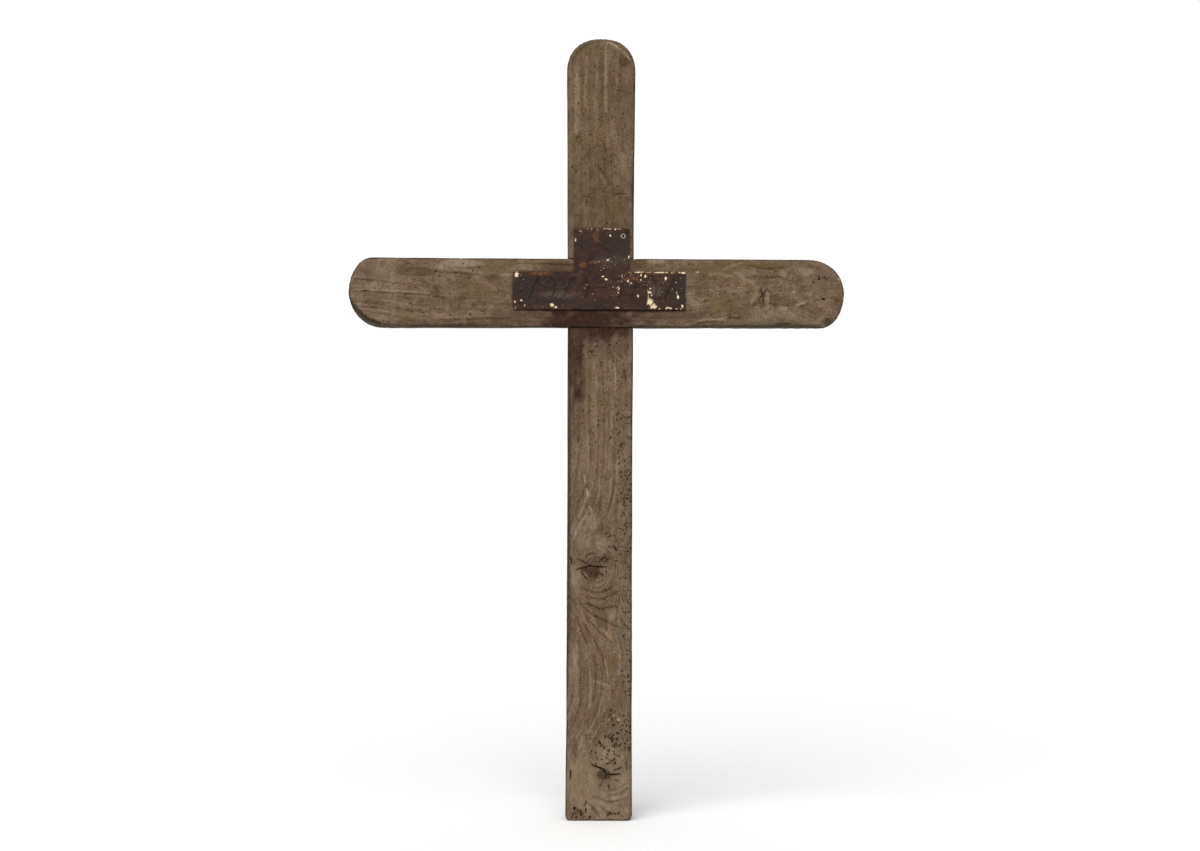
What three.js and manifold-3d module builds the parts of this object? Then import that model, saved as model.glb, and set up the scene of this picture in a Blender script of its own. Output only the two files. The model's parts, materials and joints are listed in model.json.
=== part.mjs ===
// A weathered wooden grave cross: two boards halved together, and a sheet-iron plate nailed over the joint.
// Millimetres. The origin is the middle of the foot's sawn end, +Z runs up and the front faces -Y.
import * as THREE from "three";
import { mergeVertices } from "three/addons/utils/BufferGeometryUtils.js";
import Module from "manifold-3d";

// Upright board
const HEIGHT = 939;
const BOARD_THICKNESS = 36;
const FOOT_HALF_WIDTH = 39.8;
const HEAD_HALF_WIDTH = 40.8;
const WAIST_LOSS = 1.3; // how far each edge draws in halfway up
const HEAD_ROUND_POWER = 2.33; // 2 is a true half circle, more is squarer
const FOOT_CORNER_LEFT = 6;
const FOOT_CORNER_RIGHT = 8;

// Crossbar board, whose two ends are rounded by hand and differ above and below
const CROSSBAR_HEIGHT = 634; // from the foot to the bar's middle
const LEFT_ARM = 302.5;
const RIGHT_ARM = 292.5;
const LEFT_HALF_DEPTH = 41.6;
const RIGHT_HALF_DEPTH = 40.6;
const LEFT_END_ROUND = { upper: 28, lower: 39 };
const RIGHT_END_ROUND = { upper: 41, lower: 26.5 };
const ELLIPSE_POWER = 2;

// Worn arrises and the halving joint
const ARRIS_WIDTH = 4.2;
const ARRIS_DEPTH = 3;
const JOINT_GAP = 0.3;

// Sheet-iron plate, an upside-down T measured from the crossing's centre
const PLATE_THICKNESS = 2.2;
const STRIP = { left: -104.4, right: 102.2, bottom: -20.2, top: 25.4 };
const TAB = { left: -32.2, right: 34.6, top: 77.2 };
const PLATE_CORNER = 2;
const PLATE_EDGE = 0.4;

// One row of shallow strokes stamped across the plate's strip
const STROKE_ROW = { first: -80, last: 83, count: 9, middle: 5.5 };
const STROKE_HEIGHT = 24;
const STROKE_BOW = 5;
const STROKE_WIDTH = 2.6;
const STROKE_DEPTH = 0.6;
const DASH_LENGTH = 11;

// Nails, placed from the crossing's centre
const NAIL_PLACES = {
  nail_tab_left: { x: -24.5, y: 71.6 },
  nail_tab_right: { x: 26.9, y: 67.9 },
  nail_strip_left: { x: -97, y: 3.2 },
  nail_strip_right: { x: 97.2, y: 2 },
};
const NAIL_HEAD_RADIUS = 2.4;
const NAIL_HEAD_RISE = 1.1;
const NAIL_SHANK_RADIUS = 1.1;
const NAIL_LENGTH = 28;
const NAIL_POINT = 4;
const NAIL_SIDES = 10;

// Drying checks in the front faces: middle, length along the split, and its lean from level in degrees
const KNOT_CHECKS = [
  { x: -18, y: 303.8, length: 23, lean: 9 },
  { x: -1, y: 305, length: 17, lean: -3 },
  { x: -23.5, y: 311.5, length: 9, lean: -29 },
  { x: 4.5, y: 315, length: 11, lean: 33 },
  { x: -3.5, y: 66, length: 18, lean: -25 },
  { x: 7, y: 59, length: 9, lean: -58 },
  { x: 17.5, y: 56, length: 19, lean: 1 },
];
const BAR_CHECKS = [
  { x: -262, y: 632.6, length: 74, lean: -3 },
  { x: -288, y: 650.6, length: 22, lean: -2 },
];
const CHECK_WIDTH = 1.8;
const CHECK_DEPTH = 5;

const CURVE_STEPS = 14;
const EDGE_STEPS = 8;

const wasm = await Module();
wasm.setup();

// Finishes
const weatheredWood = new THREE.MeshStandardMaterial({ color: 0x705f4d, roughness: 0.95, metalness: 0 });
const greyWood = new THREE.MeshStandardMaterial({ color: 0x73614e, roughness: 0.95, metalness: 0 });
const rustyIron = new THREE.MeshStandardMaterial({ color: 0x47362d, roughness: 0.75, metalness: 0.35 });
const nailIron = new THREE.MeshStandardMaterial({ color: 0x2e2622, roughness: 0.7, metalness: 0.5 });

// Solids and booleans

function solidFrom(geometry) {
  const bare = geometry.clone();
  bare.deleteAttribute("normal");
  bare.deleteAttribute("uv");
  const merged = mergeVertices(bare, 1e-4);
  return new wasm.Manifold(
    new wasm.Mesh({
      numProp: 3,
      vertProperties: merged.attributes.position.array,
      triVerts: new Uint32Array(merged.index.array),
    }),
  );
}

function geometryFrom(solid) {
  const mesh = solid.getMesh();
  const geometry = new THREE.BufferGeometry();
  geometry.setAttribute("position", new THREE.BufferAttribute(mesh.vertProperties, mesh.numProp));
  geometry.setIndex(new THREE.BufferAttribute(mesh.triVerts, 1));
  const flat = geometry.toNonIndexed();
  flat.computeVertexNormals();
  return flat;
}

function block(left, right, bottom, top, back, front) {
  const box = new THREE.BoxGeometry(right - left, top - bottom, front - back);
  box.translate((left + right) / 2, (bottom + top) / 2, (back + front) / 2);
  return solidFrom(box);
}

function named(name, geometry, material) {
  const mesh = new THREE.Mesh(geometry, material);
  mesh.name = name;
  return mesh;
}

// Outlines, drawn with X across, Y up the upright and Z towards the front

const headSpring = HEIGHT - HEAD_HALF_WIDTH;

function uprightHalfWidth(height) {
  const share = height / headSpring;
  const straight = THREE.MathUtils.lerp(FOOT_HALF_WIDTH, HEAD_HALF_WIDTH, share);
  return straight - WAIST_LOSS * 4 * share * (1 - share);
}

function crossbarHalfDepth(x) {
  return THREE.MathUtils.mapLinear(x, -LEFT_ARM, RIGHT_ARM, LEFT_HALF_DEPTH, RIGHT_HALF_DEPTH);
}

// A quarter of a superellipse, from (reach, 0) round to (0, rise)
function quarterRound(reach, rise, power) {
  const points = [];
  for (let i = 0; i <= CURVE_STEPS; i++) {
    const angle = (i / CURVE_STEPS) * (Math.PI / 2);
    const along = reach * Math.max(Math.cos(angle), 0) ** (2 / power);
    const up = rise * Math.sin(angle) ** (2 / power);
    points.push(new THREE.Vector2(along, up));
  }
  return points;
}

function uprightOutline() {
  const rightEdge = [];
  for (let i = 0; i < EDGE_STEPS; i++) {
    const height = THREE.MathUtils.lerp(FOOT_CORNER_RIGHT, headSpring, i / EDGE_STEPS);
    rightEdge.push(new THREE.Vector2(uprightHalfWidth(height), height));
  }
  const leftEdge = [];
  for (let i = EDGE_STEPS - 1; i >= 0; i--) {
    const height = THREE.MathUtils.lerp(FOOT_CORNER_LEFT, headSpring, i / EDGE_STEPS);
    leftEdge.push(new THREE.Vector2(-uprightHalfWidth(height), height));
  }
  const quarter = quarterRound(HEAD_HALF_WIDTH, HEAD_HALF_WIDTH, HEAD_ROUND_POWER);
  const headRight = quarter.map((p) => new THREE.Vector2(p.x, headSpring + p.y));
  const headLeft = quarter.map((p) => new THREE.Vector2(-p.x, headSpring + p.y)).reverse();
  const footCorner = quarterRound(FOOT_CORNER_LEFT, FOOT_CORNER_LEFT, ELLIPSE_POWER).map(
    (p) => new THREE.Vector2(FOOT_CORNER_LEFT - FOOT_HALF_WIDTH - p.x, FOOT_CORNER_LEFT - p.y),
  );
  const otherCorner = quarterRound(FOOT_CORNER_RIGHT, FOOT_CORNER_RIGHT, ELLIPSE_POWER)
    .map((p) => new THREE.Vector2(FOOT_HALF_WIDTH - FOOT_CORNER_RIGHT + p.x, FOOT_CORNER_RIGHT - p.y))
    .reverse();
  return outlineOf([...footCorner, ...otherCorner, ...rightEdge, ...headRight, ...headLeft, ...leftEdge]);
}

function crossbarOutline() {
  const rightLower = quarterRound(RIGHT_END_ROUND.lower, RIGHT_HALF_DEPTH, ELLIPSE_POWER)
    .map((p) => new THREE.Vector2(RIGHT_ARM - RIGHT_END_ROUND.lower + p.x, -p.y))
    .reverse();
  const rightUpper = quarterRound(RIGHT_END_ROUND.upper, RIGHT_HALF_DEPTH, ELLIPSE_POWER).map(
    (p) => new THREE.Vector2(RIGHT_ARM - RIGHT_END_ROUND.upper + p.x, p.y),
  );
  const leftUpper = quarterRound(LEFT_END_ROUND.upper, LEFT_HALF_DEPTH, ELLIPSE_POWER)
    .map((p) => new THREE.Vector2(LEFT_END_ROUND.upper - LEFT_ARM - p.x, p.y))
    .reverse();
  const leftLower = quarterRound(LEFT_END_ROUND.lower, LEFT_HALF_DEPTH, ELLIPSE_POWER).map(
    (p) => new THREE.Vector2(LEFT_END_ROUND.lower - LEFT_ARM - p.x, -p.y),
  );
  const outline = [...rightLower, ...rightUpper, ...leftUpper, ...leftLower];
  return outlineOf(outline.map((p) => new THREE.Vector2(p.x, p.y + CROSSBAR_HEIGHT)));
}

// A closed shape through points, with the repeated ones left out
function outlineOf(points) {
  const closest = 0.05;
  const kept = points.filter((p, i) => p.distanceTo(points[(i + 1) % points.length]) > closest);
  return new THREE.Shape(kept);
}

// A board of the full thickness with worn, rounded arrises, centred on the drawing plane
function wornBoard(outline) {
  const geometry = new THREE.ExtrudeGeometry(outline, {
    depth: BOARD_THICKNESS - 2 * ARRIS_DEPTH,
    bevelEnabled: true,
    bevelThickness: ARRIS_DEPTH,
    bevelSize: ARRIS_WIDTH,
    bevelOffset: -ARRIS_WIDTH,
    bevelSegments: 2,
  });
  geometry.translate(0, 0, ARRIS_DEPTH - BOARD_THICKNESS / 2);
  return solidFrom(geometry);
}

// A split that is widest in its middle and runs out to nothing at both ends and in depth
function dryingCheck({ x, y, length, lean }) {
  const pyramid = new THREE.ConeGeometry(1, 1, 4);
  pyramid.rotateX(-Math.PI / 2);
  pyramid.scale(length / 2, CHECK_WIDTH / 2, 2 * CHECK_DEPTH);
  pyramid.rotateZ(THREE.MathUtils.degToRad(lean));
  pyramid.translate(x, y, BOARD_THICKNESS / 2);
  return solidFrom(pyramid);
}

function nailHole({ x, y }) {
  const drill = new THREE.CylinderGeometry(
    NAIL_SHANK_RADIUS + JOINT_GAP,
    NAIL_SHANK_RADIUS + JOINT_GAP,
    2 * NAIL_LENGTH,
    NAIL_SIDES,
  );
  drill.rotateX(Math.PI / 2);
  drill.translate(x, CROSSBAR_HEIGHT + y, BOARD_THICKNESS / 2 + PLATE_THICKNESS);
  return solidFrom(drill);
}

// The pieces

const front = BOARD_THICKNESS / 2;
const jointHalfWidth = uprightHalfWidth(CROSSBAR_HEIGHT + LEFT_HALF_DEPTH);
const jointHalfDepth = crossbarHalfDepth(-jointHalfWidth);

function makeUpright() {
  const housing = block(
    -HEAD_HALF_WIDTH * 2,
    HEAD_HALF_WIDTH * 2,
    CROSSBAR_HEIGHT - jointHalfDepth - JOINT_GAP,
    CROSSBAR_HEIGHT + jointHalfDepth + JOINT_GAP,
    -JOINT_GAP / 2,
    2 * front,
  );
  let board = wornBoard(uprightOutline()).subtract(housing);
  for (const check of KNOT_CHECKS) board = board.subtract(dryingCheck(check));
  for (const place of [NAIL_PLACES.nail_tab_left, NAIL_PLACES.nail_tab_right]) {
    board = board.subtract(nailHole(place));
  }
  return named("upright", geometryFrom(board), weatheredWood);
}

function makeCrossbar() {
  const squareMiddle = block(
    -jointHalfWidth,
    jointHalfWidth,
    CROSSBAR_HEIGHT - crossbarHalfDepth(jointHalfWidth),
    CROSSBAR_HEIGHT + crossbarHalfDepth(jointHalfWidth),
    0,
    front,
  );
  const housing = block(
    -jointHalfWidth - JOINT_GAP,
    jointHalfWidth + JOINT_GAP,
    CROSSBAR_HEIGHT - 2 * LEFT_HALF_DEPTH,
    CROSSBAR_HEIGHT + 2 * LEFT_HALF_DEPTH,
    -2 * front,
    JOINT_GAP / 2,
  );
  let board = wornBoard(crossbarOutline()).add(squareMiddle).subtract(housing);
  for (const check of BAR_CHECKS) board = board.subtract(dryingCheck(check));
  for (const place of [NAIL_PLACES.nail_strip_left, NAIL_PLACES.nail_strip_right]) {
    board = board.subtract(nailHole(place));
  }
  return named("crossbar", geometryFrom(board), greyWood);
}

function plateOutline() {
  const corners = [
    [STRIP.left, STRIP.bottom],
    [STRIP.right, STRIP.bottom],
    [STRIP.right, STRIP.top],
    [TAB.right, STRIP.top],
    [TAB.right, TAB.top],
    [TAB.left, TAB.top],
    [TAB.left, STRIP.top],
    [STRIP.left, STRIP.top],
  ].map(([x, y]) => new THREE.Vector2(x, y + CROSSBAR_HEIGHT));
  const shape = new THREE.Shape();
  corners.forEach((corner, i) => {
    const before = corners[(i + corners.length - 1) % corners.length];
    const after = corners[(i + 1) % corners.length];
    const start = before.clone().sub(corner).setLength(PLATE_CORNER).add(corner);
    const end = after.clone().sub(corner).setLength(PLATE_CORNER).add(corner);
    if (i === 0) shape.moveTo(start.x, start.y);
    else shape.lineTo(start.x, start.y);
    shape.quadraticCurveTo(corner.x, corner.y, end.x, end.y);
  });
  return shape;
}

// One stamped stroke: a leaning bar or a bow in turn, all turned one way, and a dash in the middle
function strokeLine(index) {
  const middle = (STROKE_ROW.count - 1) / 2;
  const half = STROKE_HEIGHT / 2;
  if (index === middle) {
    return new THREE.LineCurve(new THREE.Vector2(-DASH_LENGTH / 2, 0), new THREE.Vector2(DASH_LENGTH / 2, 0));
  }
  const leaning = index % 2 === 0;
  const bow = leaning ? 0 : 2 * STROKE_BOW;
  const lean = leaning ? STROKE_BOW : 0;
  return new THREE.QuadraticBezierCurve(
    new THREE.Vector2(-lean, -half),
    new THREE.Vector2(bow, 0),
    new THREE.Vector2(lean, half),
  );
}

function strokeCutter(index) {
  const line = strokeLine(index);
  const spine = line.getPoints(line.isLineCurve ? 1 : EDGE_STEPS);
  const sides = spine.map((p, i) => {
    const tangent = line.getTangent(i / (spine.length - 1));
    const across = new THREE.Vector2(-tangent.y, tangent.x).multiplyScalar(STROKE_WIDTH / 2);
    return [p.clone().sub(across), p.clone().add(across)];
  });
  const outline = [...sides.map((pair) => pair[0]), ...sides.map((pair) => pair[1]).reverse()];
  const groove = new THREE.ExtrudeGeometry(new THREE.Shape(outline), {
    depth: 2 * STROKE_DEPTH,
    bevelEnabled: false,
  });
  const x = THREE.MathUtils.mapLinear(index, 0, STROKE_ROW.count - 1, STROKE_ROW.first, STROKE_ROW.last);
  const face = front + JOINT_GAP + PLATE_THICKNESS;
  groove.translate(x, CROSSBAR_HEIGHT + STROKE_ROW.middle, face - STROKE_DEPTH);
  return solidFrom(groove);
}

function makePlate() {
  const sheet = new THREE.ExtrudeGeometry(plateOutline(), {
    depth: PLATE_THICKNESS - 2 * PLATE_EDGE,
    bevelEnabled: true,
    bevelThickness: PLATE_EDGE,
    bevelSize: PLATE_EDGE,
    bevelOffset: -PLATE_EDGE,
    bevelSegments: 1,
    curveSegments: 4,
  });
  sheet.translate(0, 0, front + JOINT_GAP + PLATE_EDGE);
  let plate = solidFrom(sheet);
  for (let i = 0; i < STROKE_ROW.count; i++) plate = plate.subtract(strokeCutter(i));
  for (const place of Object.values(NAIL_PLACES)) plate = plate.subtract(nailHole(place));
  return named("name_plate", geometryFrom(plate), rustyIron);
}

// A wire nail with a low domed head, turned about its own length and driven in from the front
function makeNail(name, { x, y }) {
  const profile = [
    [0, -NAIL_LENGTH],
    [NAIL_SHANK_RADIUS, NAIL_POINT - NAIL_LENGTH],
    [NAIL_SHANK_RADIUS, 0],
    [NAIL_HEAD_RADIUS, 0],
    [NAIL_HEAD_RADIUS, NAIL_HEAD_RISE * 0.4],
    [NAIL_HEAD_RADIUS * 0.7, NAIL_HEAD_RISE * 0.85],
    [0, NAIL_HEAD_RISE],
  ].map(([radius, along]) => new THREE.Vector2(radius, along));
  const nail = named(name, new THREE.LatheGeometry(profile, NAIL_SIDES), nailIron);
  nail.rotation.x = Math.PI / 2;
  nail.position.set(x, CROSSBAR_HEIGHT + y, front + PLATE_THICKNESS + 2 * JOINT_GAP);
  return nail;
}

// The cross is drawn lying on its back, then stood up on its foot
const cross = new THREE.Group();
cross.add(makeUpright(), makeCrossbar(), makePlate());
for (const [name, place] of Object.entries(NAIL_PLACES)) cross.add(makeNail(name, place));
cross.rotation.x = Math.PI / 2;

const memorial = new THREE.Group();
memorial.add(cross);

export default memorial;
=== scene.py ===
"""A weathered wooden grave cross: two halved boards, a rusted sheet-iron plate and the nails that hold it.

Sizes are in millimetres in the cross's own frame: x across, z up from the foot, the front at -y. Meshes hold
metres, as the frame does.
"""

from __future__ import annotations

import itertools
import json
import logging
import math
from collections.abc import Callable
from dataclasses import dataclass, field
from enum import Enum
from typing import TypeVar

import bpy
import numpy as np
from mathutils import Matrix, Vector

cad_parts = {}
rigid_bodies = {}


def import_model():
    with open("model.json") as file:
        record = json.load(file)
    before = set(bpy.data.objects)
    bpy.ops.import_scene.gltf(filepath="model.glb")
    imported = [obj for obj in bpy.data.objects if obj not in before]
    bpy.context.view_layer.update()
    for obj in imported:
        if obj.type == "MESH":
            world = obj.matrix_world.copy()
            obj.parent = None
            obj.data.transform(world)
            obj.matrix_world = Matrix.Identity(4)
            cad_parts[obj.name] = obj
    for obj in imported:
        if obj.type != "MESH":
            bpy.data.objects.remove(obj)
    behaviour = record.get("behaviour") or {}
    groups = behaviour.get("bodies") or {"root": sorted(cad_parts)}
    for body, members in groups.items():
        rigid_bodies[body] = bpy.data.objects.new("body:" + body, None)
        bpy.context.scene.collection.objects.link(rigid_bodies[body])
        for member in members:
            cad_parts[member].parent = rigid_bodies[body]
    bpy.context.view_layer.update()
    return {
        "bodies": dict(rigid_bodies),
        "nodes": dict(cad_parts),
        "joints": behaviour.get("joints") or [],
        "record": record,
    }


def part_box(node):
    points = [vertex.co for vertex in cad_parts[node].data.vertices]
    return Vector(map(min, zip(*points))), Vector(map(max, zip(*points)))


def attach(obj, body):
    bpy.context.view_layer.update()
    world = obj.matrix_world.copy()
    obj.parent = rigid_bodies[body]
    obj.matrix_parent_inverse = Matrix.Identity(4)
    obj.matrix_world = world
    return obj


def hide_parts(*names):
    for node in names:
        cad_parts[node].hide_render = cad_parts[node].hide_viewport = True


LOG = logging.getLogger("grave_cross")
MM = 0.001
BODY = "root"
Colour = tuple[float, float, float, float]
Place = tuple[float, float]
Triple = tuple[float, float, float]
NAIL_NODES = ("nail_tab_left", "nail_tab_right", "nail_strip_left", "nail_strip_right")


def tone(red: float, green: float, blue: float) -> Colour:
    """Turns a colour seen on screen into the linear one that a shader takes.

    Args:
        red: Display value from 0 to 255.
        green: Display value from 0 to 255.
        blue: Display value from 0 to 255.

    Returns:
        The linear colour, opaque.
    """
    shares = [value / 255 for value in (red, green, blue)]
    linear = [s / 12.92 if s <= 0.04045 else ((s + 0.055) / 1.055) ** 2.4 for s in shares]
    return linear[0], linear[1], linear[2], 1.0


def ease(low: float, high: float, values: np.ndarray) -> np.ndarray:
    """Rises smoothly from 0 at low to 1 at high.

    Args:
        low: Where the rise starts.
        high: Where it ends.
        values: The numbers to look up.

    Returns:
        One share from 0 to 1 for each value.
    """
    share = np.clip((values - low) / (high - low), 0, 1)
    return share * share * (3 - 2 * share)


class Grain(Enum):
    """Which way a board's fibres run."""

    UPWARD = "upward"
    SIDEWAYS = "sideways"


class Tint(Enum):
    """What has coloured a patch of wood, or the painted shade on its edges; the value is the mesh attribute
    that holds it.
    """

    RUST = "stain"
    ALGAE = "algae"
    LICHEN = "lichen"
    SHADE = "shade"
    PALE = "pale"
    HEART = "heart"
    RINGS = "rings"
    # Painted shade: the arrises, narrow sides and lower edges drawn darker where less light reaches them.
    GRIME = "grime"
    FLECKS = "flecks"


class ValueNoise:
    """Smooth seeded noise from -1 to 1 that repeats only after many waves."""

    CELLS = 48

    def __init__(self, seed: int) -> None:
        """Draws the noise's lattice from a seed."""
        self.lattice = np.random.default_rng(seed).uniform(-1, 1, (self.CELLS,) * 3)

    def at(self, spots: np.ndarray, wave: Triple) -> np.ndarray:
        """Looks the noise up.

        Args:
            spots: Points in millimetres, one row each.
            wave: Wave length along each of the three axes.

        Returns:
            One value from -1 to 1 for each point.
        """
        cells = spots / np.array(wave)
        corner = np.floor(cells).astype(int)
        share = cells - corner
        share = share * share * (3 - 2 * share)
        total = np.zeros(len(spots))
        for step in itertools.product((0, 1), repeat=3):
            weight = np.prod(np.where(step, share, 1 - share), axis=1)
            index = (corner + step) % self.CELLS
            total += weight * self.lattice[index[:, 0], index[:, 1], index[:, 2]]
        return total


class Surface:
    """The points of one piece's mesh, read and written in millimetres."""

    def __init__(self, piece: bpy.types.Object) -> None:
        """Holds a piece's mesh."""
        self.mesh = piece.data

    def _read(self, name: str) -> np.ndarray:
        """Reads a three-part value of every vertex."""
        flat = np.empty(len(self.mesh.vertices) * 3, np.float32)
        self.mesh.vertices.foreach_get(name, flat)
        return flat.reshape(-1, 3).astype(float)

    def points(self) -> np.ndarray:
        """Gives every vertex's place, one row each."""
        return self._read("co") / MM

    def normals(self) -> np.ndarray:
        """Gives every vertex's outward direction, one row each."""
        return self._read("normal")

    def move_to(self, points: np.ndarray) -> None:
        """Moves every vertex to its row of points."""
        self.mesh.vertices.foreach_set("co", (points * MM).astype(np.float32).ravel())
        self.mesh.update()

    def note(self, name: str, values: np.ndarray) -> None:
        """Stores one number for each vertex, for the finish to read."""
        attribute = self.mesh.attributes.new(name, "FLOAT", "POINT")
        attribute.data.foreach_set("value", values.astype(np.float32))


class Bench:
    """Steps of modelling that act on one piece at a time."""

    @staticmethod
    def only(piece: bpy.types.Object) -> None:
        """Selects one piece alone and makes it the active one."""
        bpy.ops.object.select_all(action="DESELECT")
        piece.select_set(True)
        bpy.context.view_layer.objects.active = piece

    @classmethod
    def copy_of(cls, node: bpy.types.Object, name: str) -> bpy.types.Object:
        """Copies a CAD node's mesh into a new piece with its triangles joined up.

        Args:
            node: The CAD node's object, which is left alone.
            name: The new piece's name.

        Returns:
            The new piece.
        """
        piece = bpy.data.objects.new(name, node.data.copy())
        bpy.context.scene.collection.objects.link(piece)
        piece.data.materials.clear()
        cls.only(piece)
        bpy.ops.object.mode_set(mode="EDIT")
        bpy.ops.mesh.select_all(action="SELECT")
        bpy.ops.mesh.remove_doubles(threshold=0.005 * MM)
        bpy.ops.object.mode_set(mode="OBJECT")
        return piece

    @classmethod
    def even_faces(cls, piece: bpy.types.Object, size: float) -> None:
        """Rebuilds a closed piece from even square faces.

        Args:
            piece: The piece to rebuild.
            size: Side of a face in millimetres.
        """
        cls.only(piece)
        remesh = piece.modifiers.new("even_faces", "REMESH")
        remesh.mode = "VOXEL"
        remesh.voxel_size = size * MM
        bpy.ops.object.modifier_apply(modifier=remesh.name)

    @classmethod
    def thin(cls, piece: bpy.types.Object, front_depth: float, front: int, rest: int) -> None:
        """Merges the faces that matter least, fewer of them at the front than elsewhere.

        Args:
            piece: The piece to thin.
            front_depth: Where the front ends, in millimetres along y.
            front: The most triangles to keep in the front.
            rest: The most triangles to keep in the rest.
        """
        cls.only(piece)
        for in_front, most in ((False, rest), (True, front)):
            faces = piece.data.polygons
            centres = np.empty(len(faces) * 3, np.float32)
            faces.foreach_get("center", centres)
            sides = np.empty(len(faces), np.int32)
            faces.foreach_get("loop_total", sides)
            mine = (centres[1::3] < front_depth * MM) == in_front
            surplus = max(0, int((sides[mine] - 2).sum()) - most)
            chosen = (Surface(piece).points()[:, 1] < front_depth) == in_front
            group = piece.vertex_groups.new(name="thinned")
            group.add(np.flatnonzero(chosen).tolist(), 1.0, "REPLACE")
            thinner = piece.modifiers.new("thinner", "DECIMATE")
            thinner.vertex_group = group.name
            thinner.ratio = 1 - surplus / int((sides - 2).sum())
            bpy.ops.object.modifier_apply(modifier=thinner.name)
            piece.vertex_groups.clear()

    @classmethod
    def smooth(cls, piece: bpy.types.Object, degrees: float = 180) -> None:
        """Shades a piece smooth over every edge that bends less than an angle."""
        cls.only(piece)
        bpy.ops.object.shade_smooth_by_angle(angle=math.radians(degrees))

    @staticmethod
    def join_frame(piece: bpy.types.Object, node: str, slot: str, finish: bpy.types.Material) -> None:
        """Puts a finished piece in its CAD node's place.

        Args:
            piece: The finished piece.
            node: The CAD node that it stands for.
            slot: The record's material slot; not used.
            finish: Its material.
        """
        piece.data.materials.clear()
        piece.data.materials.append(finish)
        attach(piece, BODY)
        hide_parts(node)
        LOG.info("%s: %d faces", piece.name, len(piece.data.polygons))


class Signal:
    """One output of a material's nodes; arithmetic on it adds Math nodes."""

    def __init__(self, sheet: NodeSheet, socket: bpy.types.NodeSocket) -> None:
        """Wraps a socket of a sheet's nodes."""
        self.sheet = sheet
        self.socket = socket

    def math(self, operation: str, *others: Signal | float) -> Signal:
        """Adds a Math node that starts from this value.

        Args:
            operation: The Math node's operation.
            others: Its other values.

        Returns:
            The node's result.
        """
        inputs = dict(enumerate((self, *others)))
        return self.sheet.node("ShaderNodeMath", {"operation": operation}, inputs)

    def _after(self, operation: str, first: Signal | float) -> Signal:
        """Adds a Math node that ends with this value."""
        return self.sheet.node("ShaderNodeMath", {"operation": operation}, {0: first, 1: self})

    def __add__(self, other: Signal | float) -> Signal:
        """Adds."""
        return self.math("ADD", other)

    def __radd__(self, other: float) -> Signal:
        """Adds to a number."""
        return self._after("ADD", other)

    def __sub__(self, other: Signal | float) -> Signal:
        """Subtracts."""
        return self.math("SUBTRACT", other)

    def __rsub__(self, other: float) -> Signal:
        """Subtracts from a number."""
        return self._after("SUBTRACT", other)

    def __mul__(self, other: Signal | float) -> Signal:
        """Multiplies."""
        return self.math("MULTIPLY", other)

    def __rmul__(self, other: float) -> Signal:
        """Multiplies a number."""
        return self._after("MULTIPLY", other)

    def clamped(self) -> Signal:
        """Keeps the value between 0 and 1."""
        return self.math("MAXIMUM", 0.0).math("MINIMUM", 1.0)

    def between(self, low: float, high: float) -> Signal:
        """Rises smoothly from 0 at low to 1 at high; turned round where low is the larger.

        Args:
            low: Where the result is 0.
            high: Where the result is 1.

        Returns:
            The eased value.
        """
        ends = (low, high, 0.0, 1.0) if low < high else (high, low, 1.0, 0.0)
        inputs = {"Value": self, **dict(zip(("From Min", "From Max", "To Min", "To Max"), ends))}
        return self.sheet.node("ShaderNodeMapRange", {"interpolation_type": "SMOOTHSTEP"}, inputs)


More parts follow.
